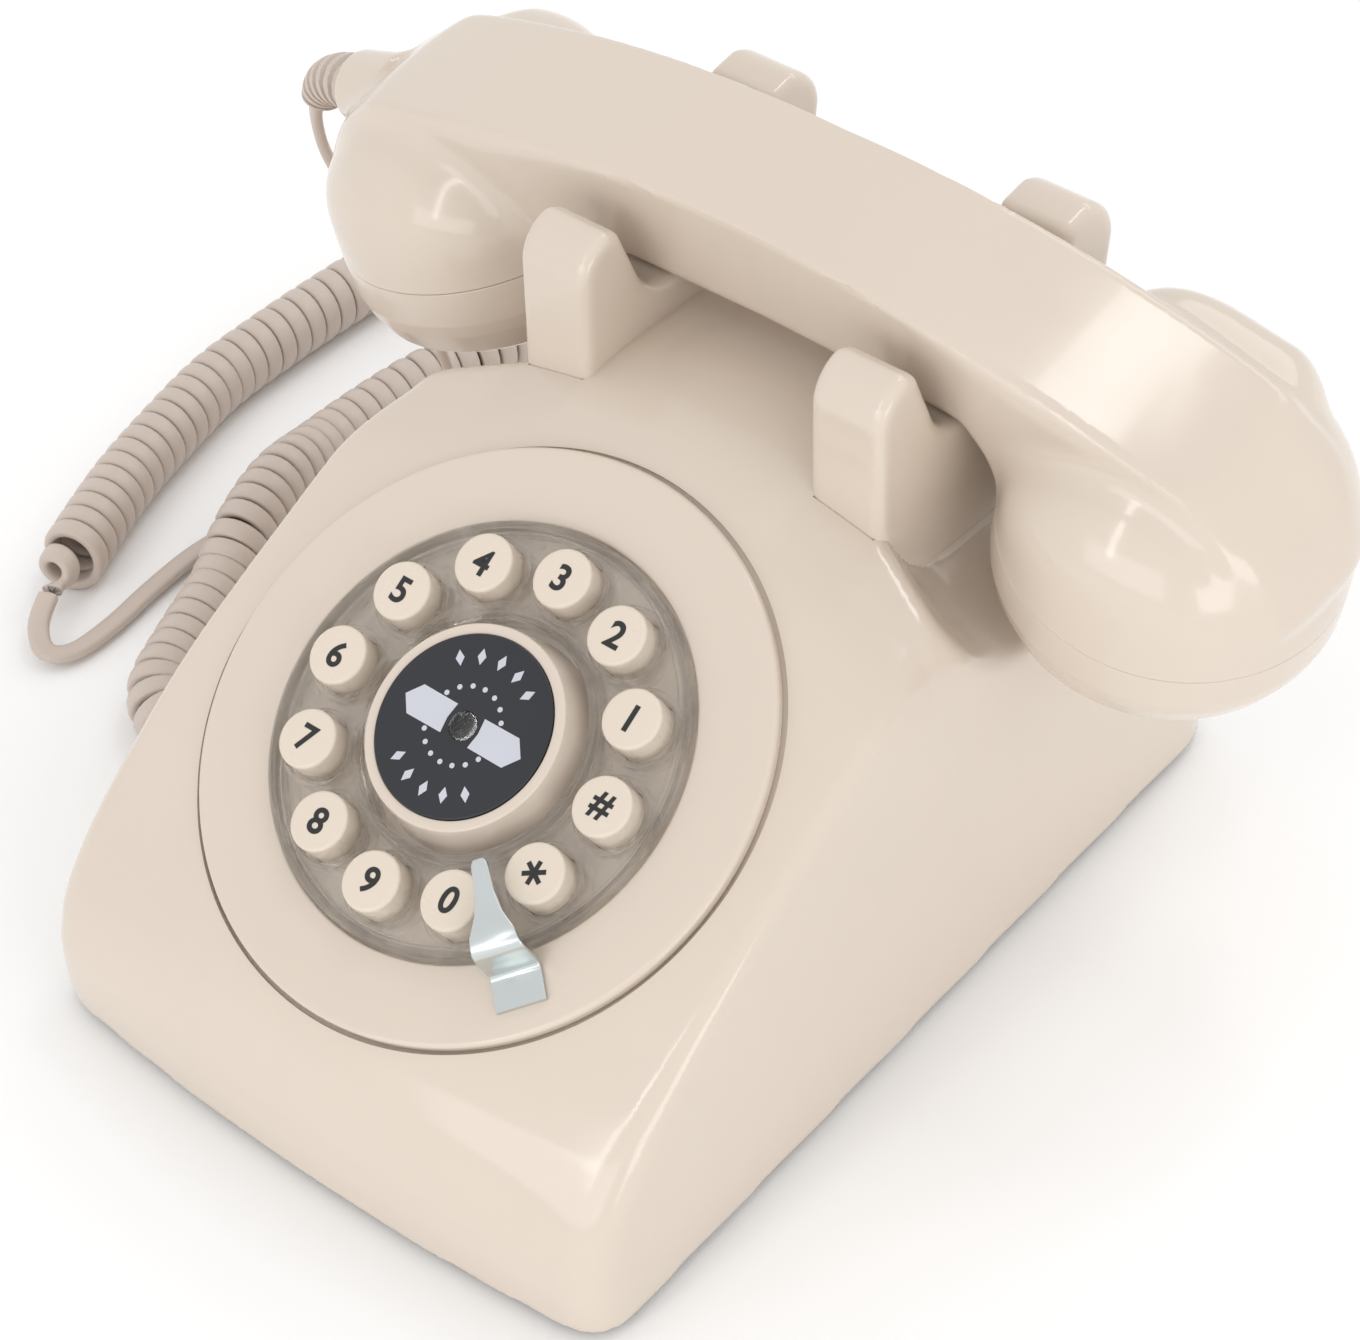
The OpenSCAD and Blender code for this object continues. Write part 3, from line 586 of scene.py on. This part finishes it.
def housing_field(x, y, z):
    """The shell with the ledge under the plate and the blocks round the yokes' feet."""
    body = body_field(x, y, z)
    shell = smax(smax(body, LIFT - z, 0.9), -(body + WALL), 0.4)
    u, v, w = to_dial(x, y, z)
    ledge = np.maximum(np.hypot(u, v) - LEDGE_R, np.abs(w - LEDGE_MID) - LEDGE_T / 2)
    block = box_field(np.abs(x), y, z, (23.7, 8, 79.6), (42.1, 84, 110))
    return np.minimum(shell, np.maximum(np.minimum(ledge, block), body + 0.4))


def arc(cy, cz, r, a0, a1, n):
    """Points of an arc from one angle in degrees to another."""
    return [(cy + r * math.cos(math.radians(a0 + (a1 - a0) * i / n)),
             cz + r * math.sin(math.radians(a0 + (a1 - a0) * i / n))) for i in range(n + 1)]


FOOT_R = 16             # the yoke's foot and its pocket are rounded in side view
FOOT_LOW, FOOT_HIGH, FOOT_FLOOR = 12, 76, 82


def pocket(gap):
    """Outline in Y and Z of the pocket for a yoke's foot."""
    low, high, floor = FOOT_LOW - gap, FOOT_HIGH + gap, FOOT_FLOOR - gap
    return (arc(low + FOOT_R, floor + FOOT_R, FOOT_R, 180, 270, 16)
            + arc(high - FOOT_R, floor + FOOT_R, FOOT_R, 270, 360, 16)
            + [(high + 2.2, 113), (low, 113)])


def cylinder(name, r, low, high, turns=48):
    return lathe(name, [(0, low), (r, low), (r, high), (0, high)], turns)


def shaft_bore(side, low, high):
    return place(cylinder("shaft", SHAFT_R, low, high), Matrix.Translation((side * SHAFT_X, SHAFT_Y, 0)))


def build_housing():
    housing = surface("housing_shell", housing_field, (-72, -106, 0), (72, 106, 108), BODY_GRID)
    seat = lathe("seat", [(0, -14), (47, -14), (47, LEDGE_Z), (56.9, LEDGE_Z), (56.9, 30), (0, 30)], 192)
    place(seat, ON_DIAL)
    cutters = [seat]
    for side in (-1, 1):
        x0, x1 = YOKE_X0 + POCKET_LAP, YOKE_X1 - POCKET_LAP
        cutters.append(prism("pocket", pocket(POCKET_GAP), *sorted((side * x0, side * x1)), axis="X"))
        cutters.append(shaft_bore(side, 70, 90))
    jack = [(42.3, 6.8), (51.7, 6.8), (51.7, 15.2), (42.3, 15.2)]
    cutters.append(prism("jack_mouth", jack, -90, -58, "X"))
    line = [(-33, 90), (-23, 90), (-23, 110), (-33, 110)]
    cutters.append(prism("line_mouth", line, 6.8, 15.2))
    carve(housing, cutters, sharp=35.0)
    settle(housing, "base", "housing", slot="shell")


build_housing()


# --- Yokes ------------------------------------------------------------------------
def yoke_outline():
    """Outline in Y and Z: a rounded foot, two horns and the saddle between them."""
    parts = [(arc(28, 98, 16, 180, 270, 16), 0), (arc(60, 98, 16, 270, 360, 16), 0),
             (arc(71.2, 126.5, 9, 0, 80, 12), 0), ([(65.7, 134.1)], 2.6),
             (arc(54.5, 122.3, 9, -15, -80.8, 12), 0), (arc(36, 119.4, 9, 279.2, 200, 12), 0),
             ([(22.7, 127.7)], 2.6), (arc(20.5, 120.5, 8.5, 95, 180, 16), 0)]
    points = [p for group, _ in parts for p in group]
    radii = [r for group, r in parts for _ in group]
    return rounded(points, radii, 6)


def polygon_distance(y, z, outline):
    """Signed distance to a closed polygon, negative inside."""
    pts = np.array(outline, float)
    best = np.full(np.shape(y), 1e9)
    inside = np.zeros(np.shape(y), bool)
    for (ay, az), (by, bz) in zip(pts, np.roll(pts, -1, axis=0)):
        ey, ez = by - ay, bz - az
        wy, wz = y - ay, z - az
        t = np.clip((wy * ey + wz * ez) / (ey * ey + ez * ez + 1e-12), 0, 1)
        best = np.minimum(best, (wy - t * ey) ** 2 + (wz - t * ez) ** 2)
        if abs(ez) > 1e-9:
            crosses = (az > z) != (bz > z)
            inside ^= crosses & (y < ey * (z - az) / ez + ay)
    return np.where(inside, -1, 1) * np.sqrt(best)


YOKE_OUTLINE = yoke_outline()


def yoke_field(x, y, z):
    flat = polygon_distance(y, z, YOKE_OUTLINE)
    thick = np.abs(np.abs(x) - YOKE_MID) - (YOKE_X1 - YOKE_X0) / 2
    return smax(flat, thick, YOKE_EDGE)


def build_yoke(side, name, node):
    low, high = sorted((side * (YOKE_X0 - 2), side * (YOKE_X1 + 2)))
    yoke = surface(name, yoke_field, (low, 9, 79), (high, 83, 138), YOKE_GRID)
    carve(yoke, [shaft_bore(side, 60, 140)], sharp=35.0)
    settle(yoke, "base", node, slot="shell")


build_yoke(1, "yoke_right", "right_yoke")
build_yoke(-1, "yoke_left", "left_yoke")


# --- Handset ----------------------------------------------------------------------
# Its own frame: x along it, z square to the band, origin on top of the band's middle.
HS_AT = (-3.15, 43.1, 139)
HS_ROLL, HS_YAW = math.radians(9.2), math.radians(-0.5)
ON_HANDSET = (Matrix.Translation(HS_AT) @ Matrix.Rotation(HS_YAW, 4, "Z")
              @ Matrix.Rotation(HS_ROLL, 4, "X"))
BAND_HALF_L = 94.7
ARCH_AT = 93            # the band's top falls by ARCH_FALL and ARCH_CURL up to here
ARCH_FALL, ARCH_CURL = 12.4, 2.2
END_FALL = 1.15         # slope of the flat face behind the band's end
END_BULGE = 1.8
BAND_LEAN = ([0, 42, 66, 200], [0.134, 0.134, 0.108, 0.108])
CUP_X, CUP_DROP, CUP_R = 81.6, 44.2, 31.9
CUP_TILT = math.radians(12.9)
DOME_LOW = 3.0          # the dome's centre is this far below the cup's joint
DOME_R = math.hypot(CUP_R, DOME_LOW)
HS_WALL = 2.4
CUP_GAP = 0.12          # half the seam between a dome and its cap
HANDSET_GRID = 1.0
COLLAR_AT = (-106.0, -29.8)
COLLAR_TURN = math.radians(98)
COLLAR_R, COLLAR_TAPER, COLLAR_L = 8.6, 0.168, 9.5
band_w = smoothed_table([0, 30, 45, 60, 75, 85, 94.7, 140],
                        [15.6, 16.1, 16.7, 17.4, 17.2, 16.4, 15.6, 12.0], 12.0)
under_z = smoothed_table([-1, 45.2, 48.2, 51.5, 60, 75, 85, 94.7, 140],
                         [-26.9, -26.9, -31.2, -36, -38, -40, -41.5, -42, -42], 5.0)


def cup_frame(side):
    """The frame of a cup in the handset's: its Z is the axis of the dome and the cap."""
    return (Matrix.Translation((side * CUP_X, 0, -CUP_DROP))
            @ Matrix.Rotation(side * CUP_TILT, 4, "Y"))


def in_cup(x, y, z):
    """Coordinates of a point in the frame of the cup on its own side."""
    c, s = math.cos(CUP_TILT), math.sin(CUP_TILT)
    dx, dz = np.abs(x) - CUP_X, z + CUP_DROP
    return c * dx - s * dz, y, s * dx + c * dz


def dome_field(u, v, w, right):
    """Nearly half a ball, a little squarer to the front, with a full shoulder behind.

    The two shoulders differ, as the photograph shows them.
    """
    up = ease(w / 16)
    power = 2.0 + 0.5 * up
    rho = np.sqrt(u * u + (w + DOME_LOW) ** 2 + 1e-6)
    ball = (rho ** power + np.abs(v) ** power) ** (1 / power) - DOME_R
    back = ease(v / 12)
    plan_power = 2.0 + 2.0 * right * up * ease(-u / 14)
    rise_right = 1.0 + 3.0 * ease((12 - u) / 12)
    rise_left = 3.0 - 2.2 * ease(u / 12)
    rise_power = 2.0 + up * np.where(right, rise_right, rise_left)
    plan = (np.abs(u) ** plan_power + np.abs(v) ** plan_power + 1e-6) ** (1 / plan_power)
    full = (plan ** rise_power + np.abs(w + DOME_LOW) ** rise_power) ** (1 / rise_power) - DOME_R
    return smax(ball + (full - ball) * back, -8.0 - w, 1.0)


def collar_field(x, y, z):
    """The short cone in which the cord's boot sits, on the handset's left end."""
    a, b = -math.sin(COLLAR_TURN), math.cos(COLLAR_TURN)
    dx, dz = x - COLLAR_AT[0], z - COLLAR_AT[1]
    along = dx * a + dz * b
    reach = np.sqrt((dx * b - dz * a) ** 2 + y ** 2) - COLLAR_R + COLLAR_TAPER * along
    return smax(smax(reach, along - COLLAR_L, 1.6), -3 - along, 1.0)


def handset_field(x, y, z):
    """The handset without its hollow inside: the arched band, two domes and the collar."""
    ax = np.abs(x)
    t = ax / ARCH_AT
    arch = -ARCH_FALL * t ** 2 - ARCH_CURL * t ** 4
    end = BAND_HALF_L / ARCH_AT
    crease = -ARCH_FALL * end ** 2 - ARCH_CURL * end ** 4
    tilt = (2 * ARCH_FALL * t + 4 * ARCH_CURL * t ** 3) / ARCH_AT
    bulge = END_BULGE - END_BULGE * (y / 16) ** 2
    end_face = (z - crease + END_FALL * (ax - BAND_HALF_L - bulge)) / math.hypot(1, END_FALL)
    top = smax((z - arch) / np.sqrt(1 + tilt ** 2), end_face, 1.2)
    lean = np.interp(ax, *BAND_LEAN)
    side = (np.abs(y) - band_w(ax) - lean * (z - arch)) / np.sqrt(1 + lean ** 2)
    slope = under_z(ax + 0.5) - under_z(ax - 0.5)
    under = (under_z(ax) - z) / np.sqrt(1 + slope ** 2)
    u, v, w = in_cup(x, y, z)
    cone = (np.hypot(np.maximum(u, 0), v) - 18.0 - 0.63 * (30 - w)) / 1.182
    bar = smax(smax(side, cone, 2.5), under, 4.0)
    bar = smax(bar, top, 1.5)
    whole = smin(bar, dome_field(u, v, w, x > 0), 4.5)
    return smin(whole, collar_field(x, y, z), 2.5)


def handset_shell_field(x, y, z):
    solid = handset_field(x, y, z)
    return smax(solid, -(solid + HS_WALL), 0.4)


def build_handset():
    low, high = (-121, -37, -63), (118, 37, 4)
    shell = surface("handset_body", handset_shell_field, low, high, HANDSET_GRID)
    cutters = []
    for side in (-1, 1):
        outline = [(-36, -36), (36, -36), (36, 36), (-36, 36)]
        cutters.append(place(prism("below", outline, -60, CUP_GAP), cup_frame(side)))
    carve(shell, cutters, sharp=35.0)
    place(shell, ON_HANDSET)
    settle(shell, "handset", "handset_shell", slot="shell")


CAP_PROFILE = [(CUP_R, -CUP_GAP), (CUP_R, -8), (31.3, -11), (29.3, -16), (27.5, -17.4), (23.9, -18.3),
               (0, -18.3), (0, -16.3), (23.5, -16.3), (26.5, -14.5), (28.9, -11.5), (27.3, -9),
               (27.3, 2.5), (28.9, 2.5), (28.9, -CUP_GAP)]
CAP_RADII = [0.3, 4, 4, 3, 2, 2, 0, 0, 2, 1, 1, 0.5, 0.3, 0.3, 0]
CAP_HOLE_R = 1.3


def build_cap(side, name, node, rings):
    """A screwed cap with rings of (radius, number) holes."""
    cap = lathe(name, rounded(CAP_PROFILE, CAP_RADII), 144)
    for radius, count in rings:
        for k in range(count):
            a = 2 * math.pi * k / count
            hole = cylinder("hole", CAP_HOLE_R, -20, -15, 20)
            place(hole, Matrix.Translation((radius * math.cos(a), radius * math.sin(a), 0)))
            carve(cap, [hole])
    place(cap, ON_HANDSET @ cup_frame(side))
    settle(cap, "handset", node, slot="shell")


build_handset()
build_cap(1, "cap_right", "ear_cap", [(0, 1), (6, 6), (12, 12)])
build_cap(-1, "cap_left", "mouth_cap", [(0, 1), (6, 6)])


# --- Dial -------------------------------------------------------------------------
FLOOR_Z = -3.0
FLOOR_UNDER = -5.0
PLATE_R, PLATE_FOOT_R = 56, 43.2
TROUGH_R = 41.2
PILLAR_HOLE_R = 14.2
KEY_HOLE_GAP, COLLAR_GAP, COLLAR_OUT = 0.15, 0.8, 1.7
CARD_R, CARD_TOP = 17.2, 7.2
HUB_R, HUB_TOP = 19.6, 6.8
KEY_CIRCLE, KEY_R, KEY_TOP = 31.3, 5.7, 5.8
KEYS = ["1", "2", "3", "4", "5", "6", "7", "8", "9", "0", "star", "hash"]


def key_spot(i):
    a = math.radians(30 + 30 * i)
    return Matrix.Translation((KEY_CIRCLE * math.cos(a), KEY_CIRCLE * math.sin(a), 0))


def build_plate():
    outline = [(PILLAR_HOLE_R, FLOOR_UNDER), (PLATE_FOOT_R, FLOOR_UNDER), (PLATE_FOOT_R, FLOOR_Z),
               (PLATE_R - 0.8, FLOOR_Z), (PLATE_R, -2.2), (PLATE_R, 0), (TROUGH_R, 0),
               (TROUGH_R, FLOOR_Z), (PILLAR_HOLE_R, FLOOR_Z)]
    plate = lathe("dial_face", rounded(outline, [0, 0, 0, 0, 0, 1.1, 0.6, 0.8, 0], 6), 192)
    holes = [place(cylinder("hole", KEY_R + KEY_HOLE_GAP, -8, 2), key_spot(i)) for i in range(12)]
    carve(plate, holes)
    place(plate, ON_DIAL)
    settle(plate, "base", "dial_plate", slot="shell")


def build_clear_ring():
    """The clear ring over the trough, with a short collar round each key."""
    outline = [(22.0, FLOOR_Z), (23.3, FLOOR_Z), (23.3, 0.7), (39.0, 0.7), (39.0, FLOOR_Z),
               (40.7, FLOOR_Z), (40.7, 1.9), (39.9, 2.6), (38.9, 2.6), (38.3, 2.0), (25.4, 2.0),
               (23.6, 3.2), (22.5, 3.2), (22.0, 2.7)]
    radii = [0, 0, 0.3, 0.3, 0, 0, 0.4, 0.4, 0.3, 0.3, 0.6, 0.4, 0.4, 0.3]
    ring = lathe("clear_ring", rounded(outline, radii, 4), 192)
    inner, outer = KEY_R + COLLAR_GAP, KEY_R + COLLAR_OUT
    carve(ring, [place(cylinder("hole", inner, 0, 5), key_spot(i)) for i in range(12)])
    for i in range(12):
        tube = [(inner, -1.6), (outer, -1.6), (outer, 1.2), (inner, 1.2)]
        collar = place(lathe("collar", tube, 48), key_spot(i))
        carve(ring, [collar], "UNION", 35.0)
    place(ring, ON_DIAL)
    settle(ring, "base", "clear_dial_ring", slot="clear_plastic")


def build_hub():
    outline = [(10, FLOOR_UNDER), (14.1, FLOOR_UNDER), (14.1, FLOOR_Z), (21.0, FLOOR_Z), (20.4, 1.0),
               (HUB_R, 5.4), (HUB_R - 0.3, HUB_TOP), (CARD_R + 0.1, HUB_TOP), (CARD_R + 0.1, 6.2),
               (5, 6.2), (5, 4.6), (10, 4.6)]
    hub = lathe("hub_ring", rounded(outline, [0, 0, 0, 0, 0, 0.8, 0.5, 0.2, 0, 0, 0, 0], 5), 160)
    place(hub, ON_DIAL)
    settle(hub, "base", "dial_hub", slot="shell")
    disc = [(2.75, 6.2), (CARD_R, 6.2), (CARD_R, CARD_TOP), (2.75, CARD_TOP)]
    card = lathe("card_disc", rounded(disc, [0, 0, 0.25, 0.15]), 160)
    place(card, ON_DIAL)
    settle(card, "base", "dial_card", slot="card_black")


def flat_mesh(name, outlines, low, high):
    """Thin raised shapes of printed ink from several closed outlines."""
    points, faces = [], []
    for outline in outlines:
        n, start = len(outline), len(points)
        points += [(*p, h) for h in (low, high) for p in outline]
        faces.append([start + i for i in range(n)])
        faces.append([start + n + i for i in range(n)])
        for i in range(n):
            j = (i + 1) % n
            faces.append([start + i, start + j, start + n + j, start + n + i])
    return mesh_object(name, points, faces)


def circle(cx, cy, r, n=20):
    turns = [2 * math.pi * k / n for k in range(n)]
    return [(cx + r * math.cos(a), cy + r * math.sin(a)) for a in turns]


def turned(outline, angle, dx=0.0, dy=0.0):
    c, s = math.cos(angle), math.sin(angle)
    return [(c * x - s * y + dx, s * x + c * y + dy) for x, y in outline]


BAR_TIP, BAR_HALF, BAR_POINT = 13.6, 3.0, 2.4
DIAMOND_AT, DOT_AT, DOT_R = 12.9, 7.4, 0.5
PRINT_LIFT = 0.05


def build_card_print():
    """A made-up pattern: a pointed bar on either side of the lens, diamonds and dots."""
    shapes = []
    shoulder = BAR_TIP - BAR_POINT
    bar = [(3.2, -2.95), (shoulder, -BAR_HALF), (BAR_TIP, 0), (shoulder, BAR_HALF), (3.2, 2.95), (3.6, 0)]
    diamond = [(1.55, 0), (0, 0.85), (-1.55, 0), (0, -0.85)]
    for side in (-1, 1):
        shapes.append([(side * x, y) for x, y in bar])
        for k in range(-2, 3):
            a = math.radians(90 * side + 19 * k)
            shapes.append(turned(diamond, a, DIAMOND_AT * math.cos(a), DIAMOND_AT * math.sin(a)))
        for k in range(-3, 4):
            a = math.radians(90 * side + 20 * k)
            shapes.append(circle(DOT_AT * math.cos(a), DOT_AT * math.sin(a), DOT_R))
    motif = flat_mesh("card_print", shapes, CARD_TOP - PRINT_LIFT, CARD_TOP + PRINT_LIFT)
    motif.data.materials.append(PRINT)
    place(motif, ON_DIAL)
    settle(motif, "base", slot="card_black")


def build_lens():
    dome = [(0, 5.4), (2.2, 5.4), (2.2, 6.2), (2.62, 6.2), (2.62, 7.3)]
    for a in np.linspace(0.15, math.pi / 2, 10)[:-1]:
        dome.append((2.6 * math.cos(a), 7.3 + 1.5 * math.sin(a)))
    dome.append((0, 8.8))
    lens = place(lathe("lens_dome", dome, 64), ON_DIAL)
    settle(lens, "base", "call_lens", slot="clear_plastic")


def text_mesh(name, text, height, low, high):
    """A figure of the given height as thin raised ink, centred on its own middle."""
    data = bpy.data.curves.new(name, "FONT")
    data.body = text
    data.size = 6.0
    data.offset = 0.15
    data.resolution_u = 6
    data.fill_mode = "BOTH"
    data.extrude = 0.5
    obj = bpy.data.objects.new(name, data)
    scene.collection.objects.link(obj)
    graph = bpy.context.evaluated_depsgraph_get()
    mesh = bpy.data.meshes.new_from_object(obj.evaluated_get(graph))
    bpy.data.objects.remove(obj)
    co = np.array([v.co for v in mesh.vertices], float)
    lowest, highest = co.min(0), co.max(0)
    k = height / (highest[1] - lowest[1])
    co[:, :2] = (co[:, :2] - (lowest + highest)[:2] / 2) * k
    co[:, 2] = np.where(co[:, 2] > 0, high, low)
    mesh.vertices.foreach_set("co", (co * MM).ravel())
    obj = bpy.data.objects.new(name, mesh)
    scene.collection.objects.link(obj)
    return obj


def star_outline(reach, half, arms=6):
    """A star of straight arms, each twice the half width across."""
    out = []
    notch = half / math.sin(math.pi / arms)
    for k in range(arms):
        a = math.pi / 2 + 2 * math.pi * k / arms
        out.append((notch * math.cos(a - math.pi / arms), notch * math.sin(a - math.pi / arms)))
        for s in (-1, 1):
            out.append((reach * math.cos(a) - s * half * math.sin(a),
                        reach * math.sin(a) + s * half * math.cos(a)))
    return out


FIGURE_HEIGHT = 5.1
STAR_REACH, STAR_HALF = 2.3, 0.45


def build_keys():
    """Twelve caps, each with its stem's foot, its flange and its figure."""
    outline = [(0, -6.9), (2, -6.9), (2, -6.5), (6.9, -6.5), (6.9, -5.1), (KEY_R, -5.1),
               (KEY_R, KEY_TOP), (0, KEY_TOP)]
    for i, key in enumerate(KEYS):
        cap = lathe("keycap_" + key, rounded(outline, [0, 0, 0, 0.2, 0.2, 0, 0.8, 0], 6), 72)
        place(cap, ON_DIAL @ key_spot(i))
        settle(cap, "button_" + key, "key_" + key, slot="key_plastic")
        low, high = KEY_TOP - 0.03, KEY_TOP + 0.05
        if key == "star":
            mark = flat_mesh("figure_star", [star_outline(STAR_REACH, STAR_HALF)], low, high)
        else:
            text = "#" if key == "hash" else key
            mark = text_mesh("figure_" + key, text, FIGURE_HEIGHT, low, high)
        mark.data.materials.clear()
        mark.data.materials.append(INK)
        place(mark, ON_DIAL @ key_spot(i))
        settle(mark, "button_" + key, slot="card_black")


# The finger stop: (radius, height) along it, and its half width by the distance run.
STOP_PATH = [(26.5, 9.7), (34.0, 9.2), (39.6, 8.9), (42.4, 7.9), (43.3, 5.0), (43.9, 2.0), (44.9, 0.72),
             (47.0, 0.55), (51.0, 0.55)]
STOP_WIDTH = [(0, 1.0), (0.8, 1.5), (6, 1.75), (10, 2.6), (13.5, 4.2), (17, 4.75), (40, 4.75)]
STOP_HALF_T = 0.5
STOP_TURN = math.radians(-45)


def build_stop():
    flat = [(r, 0.0, z) for r, z in STOP_PATH]
    line, run = smooth_line(flat, 0.5)
    ahead = np.gradient(line, axis=0)
    normal = np.stack([-ahead[:, 2], np.zeros(len(line)), ahead[:, 0]], 1)
    widths = np.interp(run, *zip(*STOP_WIDTH))

    def section(i):
        w, t = widths[i], STOP_HALF_T
        return rounded([(-w, -t), (w, -t), (w, t), (-w, t)], [0.18] * 4, 2)

    stop = sweep("stop_blade", line, normal, section)
    place(stop, ON_DIAL @ Matrix.Rotation(STOP_TURN, 4, "Z"))
    settle(stop, "base", "finger_stop", slot="bright_steel")


build_plate()
build_clear_ring()
build_hub()
build_card_print()
build_lens()
build_keys()
build_stop()


# --- Boot and feet -------------------------------------------------------------------
# The boot bends along a curve with one control point, in the handset's frame.
BOOT_LINE = ((-112.5, 0, -30.7), (-127.5, 0, -31.5), (-126.2, -2, -43))
BOOT_SHARE = 0.78       # the visible boot stops before the CAD's
BOOT_R0, BOOT_R1 = 6.2, 3.6
BOOT_RIBS, RIB_SLANT, RIB_DEPTH = 7.0, 0.35, 0.75


def build_boot():
    start, bend, end = (np.array(p) for p in BOOT_LINE)
    count = 90
    t = np.linspace(0, BOOT_SHARE, count)[:, None]
    line = (1 - t) ** 2 * start + 2 * t * (1 - t) * bend + t * t * end
    t = t[:, 0]
    sides = 32

    def section(i):
        out = []
        ribbed = 0.06 < t[i] < 0.96 * BOOT_SHARE
        for k in range(sides):
            a = 2 * math.pi * k / sides
            wave = (t[i] * BOOT_RIBS / BOOT_SHARE + RIB_SLANT * math.sin(a)) % 1.0
            groove = RIB_DEPTH if ribbed and 0.08 < wave < 0.46 else 0.0
            r = BOOT_R0 + (BOOT_R1 - BOOT_R0) * t[i] - groove
            out.append((r * math.cos(a), r * math.sin(a)))
        return out

    normals = np.tile([0.0, 1.0, 0.0], (count, 1))
    boot = sweep("boot", line, normals, section)
    smooth(boot.data, 50.0)
    place(boot, ON_HANDSET)
    settle(boot, "handset", "strain_relief", slot="cord_rubber")
    return boot


def build_feet():
    """Four rubber feet, the front pair larger, with a shallow hollow underneath."""
    spots = [(-56.3, -86.6, 9.8), (56.3, -86.6, 9.8), (-49, 90, 8), (49, 90, 8)]
    for k, (x, y, r) in enumerate(spots):
        outline = [(0, 0.25), (r - 2.4, 0.25), (r - 2.2, 0), (r, 0), (r, 2), (r - 4.4, 2),
                   (r - 4.4, 2.4), (0, 2.4)]
        foot = lathe(f"foot_{k + 1}", rounded(outline, [0, 0, 0, 0.6, 0.4, 0, 0, 0]), 72)
        place(foot, Matrix.Translation((x, y, 0)))
        settle(foot, "base", "feet", slot="foot_rubber")


boot = build_boot()
build_feet()

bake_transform(cord)

# --- Carried-over CAD nodes -------------------------------------------------------------
# All wear dark plastic, whatever slot the record gives them.
for node in NODES.values():
    node.data.materials.clear()
    node.data.materials.append(MATERIALS["dark_plastic"])

# --- Studio ---------------------------------------------------------------------------
FLOOR_HALF = 3000.0
WORLD_STRENGTH = 0.92
corners = [(-1, -1), (1, -1), (1, 1), (-1, 1)]
floor = mesh_object("floor", [(x * FLOOR_HALF, y * FLOOR_HALF, 0) for x, y in corners], [[0, 1, 2, 3]])
floor_paint = plastic("pale_floor", (0.95, 0.95, 0.95), 0.7, vary=0.004, bump=0.01, specular=0.1)
floor.data.materials.append(floor_paint)


def area_light(name, at, aim, width, height, power):
    """A soft box at a place in metres, turned towards its aim."""
    data = bpy.data.lights.new(name, "AREA")
    data.shape = "RECTANGLE"
    data.size, data.size_y = width, height
    data.energy = power
    light = bpy.data.objects.new(name, data)
    scene.collection.objects.link(light)
    light.location = at
    light.rotation_mode = "QUATERNION"
    light.rotation_quaternion = (Vector(aim) - Vector(at)).to_track_quat("-Z", "Y")


world = bpy.data.worlds.new("studio")
scene.world = world
world.use_nodes = True
world.node_tree.nodes["Background"].inputs["Color"].default_value = (1.0, 1.0, 1.0, 1.0)
world.node_tree.nodes["Background"].inputs["Strength"].default_value = WORLD_STRENGTH
area_light("key", (-0.1, -1.35, 1.0), (0, 0, 0.1), 0.12, 0.9, 1.7)
area_light("window", (0.0, 0.55, 1.25), (0.06, 0.04, 0.12), 0.2, 0.3, 1.0)
area_light("side", (1.9, -0.6, 0.35), (0, 0, 0.05), 1.2, 0.6, 6.0)
area_light("front", (0.2, -1.8, 0.55), (0, 0, 0.08), 1.8, 0.7, 5.2)
area_light("back", (0.1, 1.7, 1.5), (0, 0, 0.05), 1.8, 0.8, 6.0)

scene.view_settings.view_transform = "Standard"
